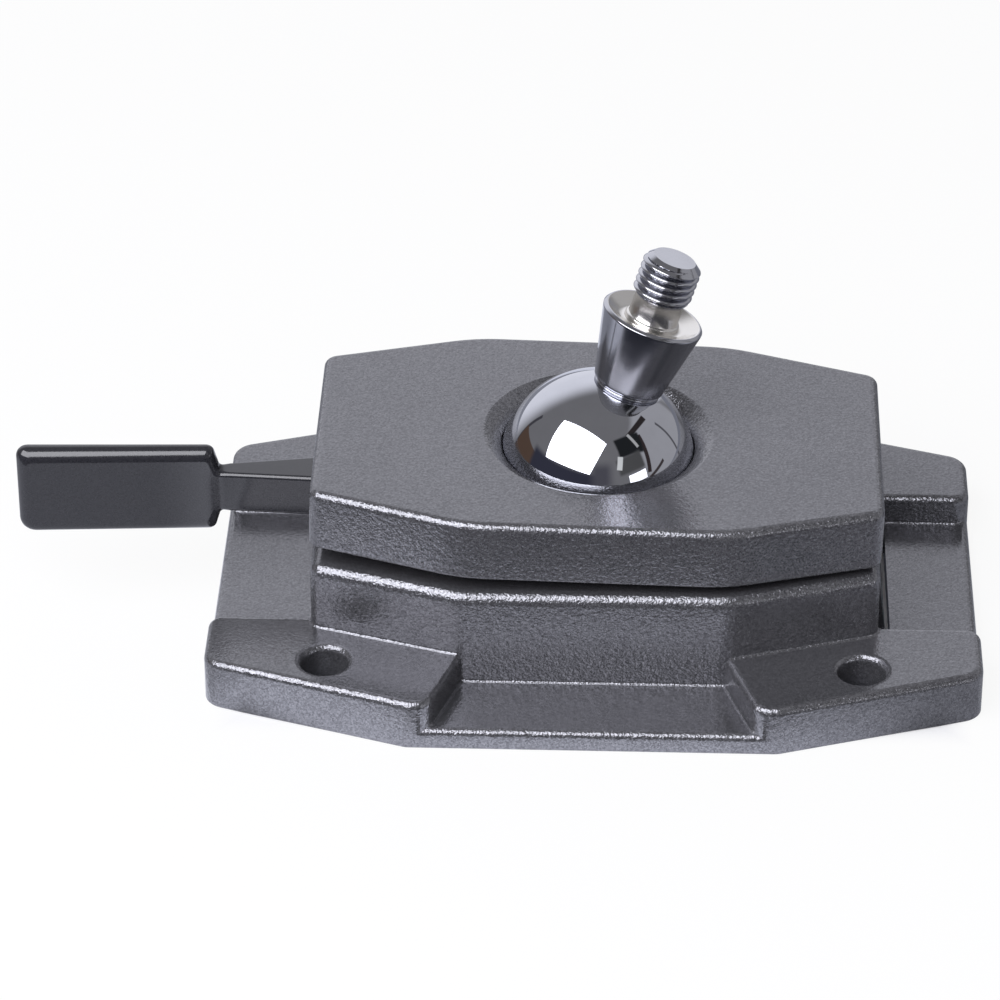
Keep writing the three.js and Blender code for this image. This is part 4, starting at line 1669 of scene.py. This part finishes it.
@dataclass
class ClampScrew:
    """The six-sided screw seen from below."""

    shared: CastSizes
    low: float = 2.0
    head: float = 6.4
    flats: float = 16.0
    chamfer_in: float = 0.3
    chamfer_out: float = 2.4
    chamfer_up: float = 1.4
    shank: float = 5.0
    thread_from: float = 32.5
    thread_depth: float = 0.8
    top: float = 37.9
    pitch: float = 2.0
    rows: int = 40

    def thread_radius(self, height: float, angle: float) -> float:
        """Radius of the threaded end at a height and an angle in radians."""
        turn = (height / self.pitch - angle / math.tau) % 1.0
        return self.shank - self.thread_depth * abs(2 * turn - 1)

    def build(self) -> Piece:
        """Models the screw with a chamfered head and a threaded upper end.

        Returns:
            The finished mesh in its place.
        """
        hexagon = arc((0, 0), self.flats / math.sqrt(3), 0, 300, 5)
        high = self.low + self.head
        screw = Bench.prism("hex_screw", hexagon, self.low, high)
        inner, wide = self.flats / 2 - self.chamfer_in, self.flats / 2 + self.chamfer_out
        under = [(0, self.low), (inner, self.low), (wide, self.low + self.chamfer_up)]
        envelope = Bench.spun("envelope", [*under, (wide, high + 1), (0, high + 1)], 64)
        Bench.combine(screw, Join.KEEP, envelope)
        start, end = self.thread_from, self.top - self.thread_depth
        middle = self.low + self.head / 2
        profile = [
            (0, middle),
            (self.shank, middle),
            (self.shank, start - 0.3),
            *[(self.shank, start + (end - start) * i / self.rows) for i in range(self.rows + 1)],
            (self.shank - self.thread_depth, self.top),
            (0, self.top),
        ]
        shank = Bench.spun("shank", profile, 64)
        Bench.turn_down(shank, start - 0.001, end + 0.001, self.thread_radius)
        Bench.combine(screw, Join.ADD, shank)
        Bench.place(screw, self.shared.about_screw(self.shared.lever_turn))
        return Bench.smooth(screw, 30)


class Inside:
    """The model's own nodes that stay, each with its finish."""

    def __init__(self, finishes: Finishes) -> None:
        """Says which nodes get which finish.

        Args:
            finishes: All the finishes.
        """
        self.kept: dict[Material, tuple[str, ...]] = {
            finishes.plastic: ("upper_seat_ring", "lower_seat"),
            finishes.bright: (
                "seat_spring",
                "thrust_washer",
                "hub_washer",
                "lift_spring_front",
                "lift_spring_rear",
                "hinge_pin",
            ),
            finishes.dark: ("stud_lock_screw", "nut_stop_pin", "lever_pin"),
            finishes.brass: ("clamp_nut",),
            finishes.enamel: ("lever_arm",),
        }

    def dress(self) -> None:
        """Gives the kept nodes their materials."""
        for material, names in self.kept.items():
            for name in names:
                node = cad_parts[name]
                node.data.materials.clear()
                node.data.materials.append(material)
                LOG.info("%s keeps its own shape", name)


def heading(bearing: float, rise: float) -> Vector:
    """A direction from its bearing and height, in degrees. A bearing of 0 is +Y, and 90 is +X."""
    along, up = math.radians(bearing), math.radians(rise)
    return Vector((math.sin(along) * math.cos(up), math.cos(along) * math.cos(up), math.sin(up)))


@dataclass(frozen=True)
class Patch:
    """A soft round patch of the surroundings: its compass bearing, height and rims, in degrees."""

    bearing: float
    rise: float
    inner: float
    outer: float
    colour: Point3

    def mask(self, shop: Shop, ahead: Socket) -> Socket:
        """Where the patch is seen, from 0 to 1."""
        rims = [math.cos(math.radians(rim)) for rim in (self.outer, self.inner)]
        return shop.dot(ahead, heading(self.bearing, self.rise)).clipped(*rims)


@dataclass(frozen=True)
class Panel:
    """A four-sided thing in the surroundings: its middle, half sizes and roll, in degrees."""

    bearing: float
    rise: float
    half_width: float
    half_height: float
    colour: Point3
    roll: float = 0.0
    soft: float = 1.0

    def mask(self, shop: Shop, ahead: Socket) -> Socket:
        """Where the panel is seen, from 0 to 1.

        Args:
            shop: The nodes of the surroundings.
            ahead: The direction that is looked in.

        Returns:
            The mask.
        """
        towards = heading(self.bearing, self.rise)
        across = towards.cross((0, 0, 1)).normalized()
        across.rotate(Matrix.Rotation(math.radians(self.roll), 3, towards))
        upward = across.cross(towards)
        mask = shop.dot(ahead, towards).clipped(0, 0.05)
        for axis, half in ((across, self.half_width), (upward, self.half_height)):
            inside = math.sin(math.radians(half))
            rim = math.sin(math.radians(half + self.soft))
            mask = mask * (shop.dot(ahead, axis).size() * -1).clipped(-rim, -inside)
        return mask


@dataclass(frozen=True)
class Fade:
    """How a value falls off between two places on the floor, in metres, and by what share."""

    start: float
    end: float
    share: float

    def part(self, place: Socket) -> Socket:
        """The share that is reached at a place."""
        return place.clipped(self.start, self.end) * self.share


@dataclass(frozen=True)
class Lamp:
    """A rectangular soft box: its direction, distance, power, size and colour."""

    name: str
    towards: Point3
    distance: float
    power: float
    size: tuple[float, float]
    colour: Point3 = (0.985, 0.99, 1.05)

    def add(self, aim: Vector) -> None:
        """Adds the lamp, turned to the object and unseen by the camera.

        Args:
            aim: The point that the lamp shines on, in metres.
        """
        Bench.clear()
        away = Vector(self.towards).normalized()
        bpy.ops.object.light_add(type="AREA", location=aim + away * self.distance)
        lamp = bpy.context.active_object
        lamp.name = self.name
        lamp.data.shape = "RECTANGLE"
        lamp.data.size, lamp.data.size_y = self.size
        lamp.data.energy = self.power
        lamp.data.color = self.colour
        lamp.rotation_euler = (-away).to_track_quat("-Z", "Y").to_euler()
        lamp.visible_camera = False


@dataclass
class Studio:
    """Floor, lamps, world and camera. Lengths are in metres."""

    camera_at: Point3 = (0.00876, -0.823901, 0.560964)
    camera_up: Point3 = (-0.01749, 0.54576, 0.83776)
    camera_ahead: Point3 = (-0.02891, 0.83726, -0.54604)
    lens: float = 174.16
    sensor: float = 36.0
    aim: Point3 = (0.0, 0.0, 0.032)
    clip: float = 0.01
    floor_size: float = 8.0
    floor_drop: float = 0.0002
    floor_colour: Point3 = (0.8, 0.8, 0.8)
    floor_lit: Point3 = (1.5, 1.54, 1.74)
    floor_dim: Point3 = (0.03, 0.032, 0.042)
    floor_white: float = 0.9
    beside_x: Point2 = (0.066, 0.076)
    beside_y: Point2 = (0.040, 0.050)
    lit_front: Point2 = (-0.073, -0.055)
    lit_slant: Fade = Fade(0.03, 0.11, 0.012)
    lit_east: Fade = Fade(0.02, 0.08, 0.72)
    lit_west: Fade = Fade(0.07, 0.09, 0.62)
    lit_north: Fade = Fade(0.0, 0.06, 0.5)
    white: Point3 = (1.0, 1.0, 1.0)
    room: Point3 = (0.215, 0.213, 0.22)
    patches: tuple[Patch | Panel, ...] = (
        Panel(76, 24, 37, 29, (0.43, 0.43, 0.45), soft=7),
        Patch(-14, 10, 20, 49, (0.98, 0.99, 1.06)),
        Panel(-61, 12, 1.2, 18, (0.07, 0.07, 0.08)),
        Panel(-80, 4, 19, 11, (0.115, 0.075, 0.055)),
        Panel(-139, 9, 42, 11, (0.045, 0.047, 0.068), soft=7),
        Panel(88, 50, 17, 2.2, (0.035, 0.03, 0.03), -19),
        Panel(108, 27, 2.0, 19, (0.045, 0.035, 0.035), -19),
        Panel(123, 45, 14, 9, (0.02, 0.022, 0.024), -16, 3),
        Panel(113, 46, 1.2, 8, (0.55, 0.55, 0.54)),
        Panel(134, 27, 14, 7, (0.1, 0.1, 0.1), soft=4),
        Panel(148, 31, 2.6, 7, (0.85, 0.86, 0.84), -20),
        Panel(174, 19, 4, 7, (0.1, 0.098, 0.115), soft=14),
        Panel(66, 14, 0.8, 15, (0.12, 0.12, 0.13)),
        Panel(104, 6, 12, 1.0, (0.06, 0.05, 0.05), 12),
    )
    lamps: tuple[Lamp, ...] = (
        Lamp("key", (-0.427, -0.523, 0.738), 1.1, 19.0, (1.28, 0.93)),
        Lamp("window", (0.74, -0.62, 0.18), 1.2, 0.6, (0.46, 0.2)),
    )

    def camera(self) -> None:
        """Adds the camera at the photograph's place."""
        Bench.clear()
        bpy.ops.object.camera_add(location=self.camera_at)
        camera = bpy.context.active_object
        camera.name = "camera"
        ahead, up = Vector(self.camera_ahead), Vector(self.camera_up)
        right = ahead.cross(up).normalized()
        axes = Matrix((right, ahead.cross(right).normalized() * -1, -ahead)).transposed()
        camera.rotation_euler = axes.to_euler()
        camera.data.lens = self.lens
        camera.data.sensor_width = self.sensor
        camera.data.clip_start = self.clip
        bpy.context.scene.camera = camera

    def floor(self) -> None:
        """Adds the pale floor, which keeps the object's shadow."""
        Bench.clear()
        bpy.ops.mesh.primitive_plane_add(size=self.floor_size, location=(0, 0, -self.floor_drop))
        floor = Bench.named("floor")
        shop = Shop("floor_paper")
        at = shop.place()
        east, north = shop.axis(at, "X"), shop.axis(at, "Y")
        west = east * -1
        beside = east.size().clipped(*self.beside_x).larger(north.size().clipped(*self.beside_y))
        lit = (north + self.lit_slant.part(west)).clipped(*self.lit_front)
        for fade, place in ((self.lit_east, east), (self.lit_west, west), (self.lit_north, north)):
            lit = lit * (1 - fade.part(place))
        diffuse = shop.node("ShaderNodeBsdfDiffuse", inputs={"Color": (*self.floor_colour, 1)})
        mirror = shop.mix(beside * lit, shop.glow(self.floor_dim), shop.glow(self.floor_lit))
        first = shop.mix(shop.ray("Glossy"), diffuse, mirror)
        seen = shop.ray("Camera").larger(shop.ray("Transmission"))
        paper = shop.mix(seen * beside * self.floor_white, first, shop.glow(self.white))
        floor.data.materials.append(shop.finish(paper))

    def world(self) -> None:
        """White to the camera, and to all else a grey room with a backdrop and dark corners."""
        world = bpy.data.worlds.new("studio")
        bpy.context.scene.world = world
        shop = Shop("studio", world)
        ahead = shop.node("ShaderNodeTexCoord", output="Generated")
        colour: Socket | Point3 = self.room
        for patch in self.patches:
            colour = shop.blend(patch.mask(shop, ahead), colour, patch.colour)
        soft, white = (shop.glow(shade, "Background") for shade in (colour, self.white))
        shop.finish(shop.mix(shop.ray("Camera"), soft, white))

    def build(self) -> None:
        """Sets the whole studio."""
        bpy.context.scene.view_settings.view_transform = "Standard"
        self.camera()
        self.floor()
        self.world()
        for lamp in self.lamps:
            lamp.add(Vector(self.aim))


def main() -> None:
    """Builds the vise's looks in order and reports each piece."""
    logging.basicConfig(level=logging.INFO, format="%(name)s: %(message)s")
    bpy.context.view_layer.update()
    Studio().build()
    shared = CastSizes()
    joint = BallAndStud(shared)
    finishes = Finishes(joint)
    paint, chrome, plated = finishes.paint, finishes.chrome, finishes.plated
    pieces = (
        (BaseCasting(shared).build, paint, "base", "hammer_paint", "base_casting"),
        (ClampPlate(shared).build, paint, "plate", "hammer_paint", "clamp_plate"),
        (joint.ball, chrome, "ball_body", "chrome", "ball"),
        (joint.ring, plated, "ball_body", "bright_steel", "neck_ring"),
        (joint.stud, plated, "stud", "plated_steel", "ball_stud"),
        (Lever(shared).grip, finishes.vinyl, "lever", "black_vinyl", "lever_grip"),
        (ClampScrew(shared).build, finishes.bright, "lever", "bright_steel", "clamp_screw"),
    )
    for build, material, body, slot, node in pieces:
        finish_piece(build(), material, Place(body, slot, (node,)))
    Inside(finishes).dress()


if __name__ == "__main__":
    main()
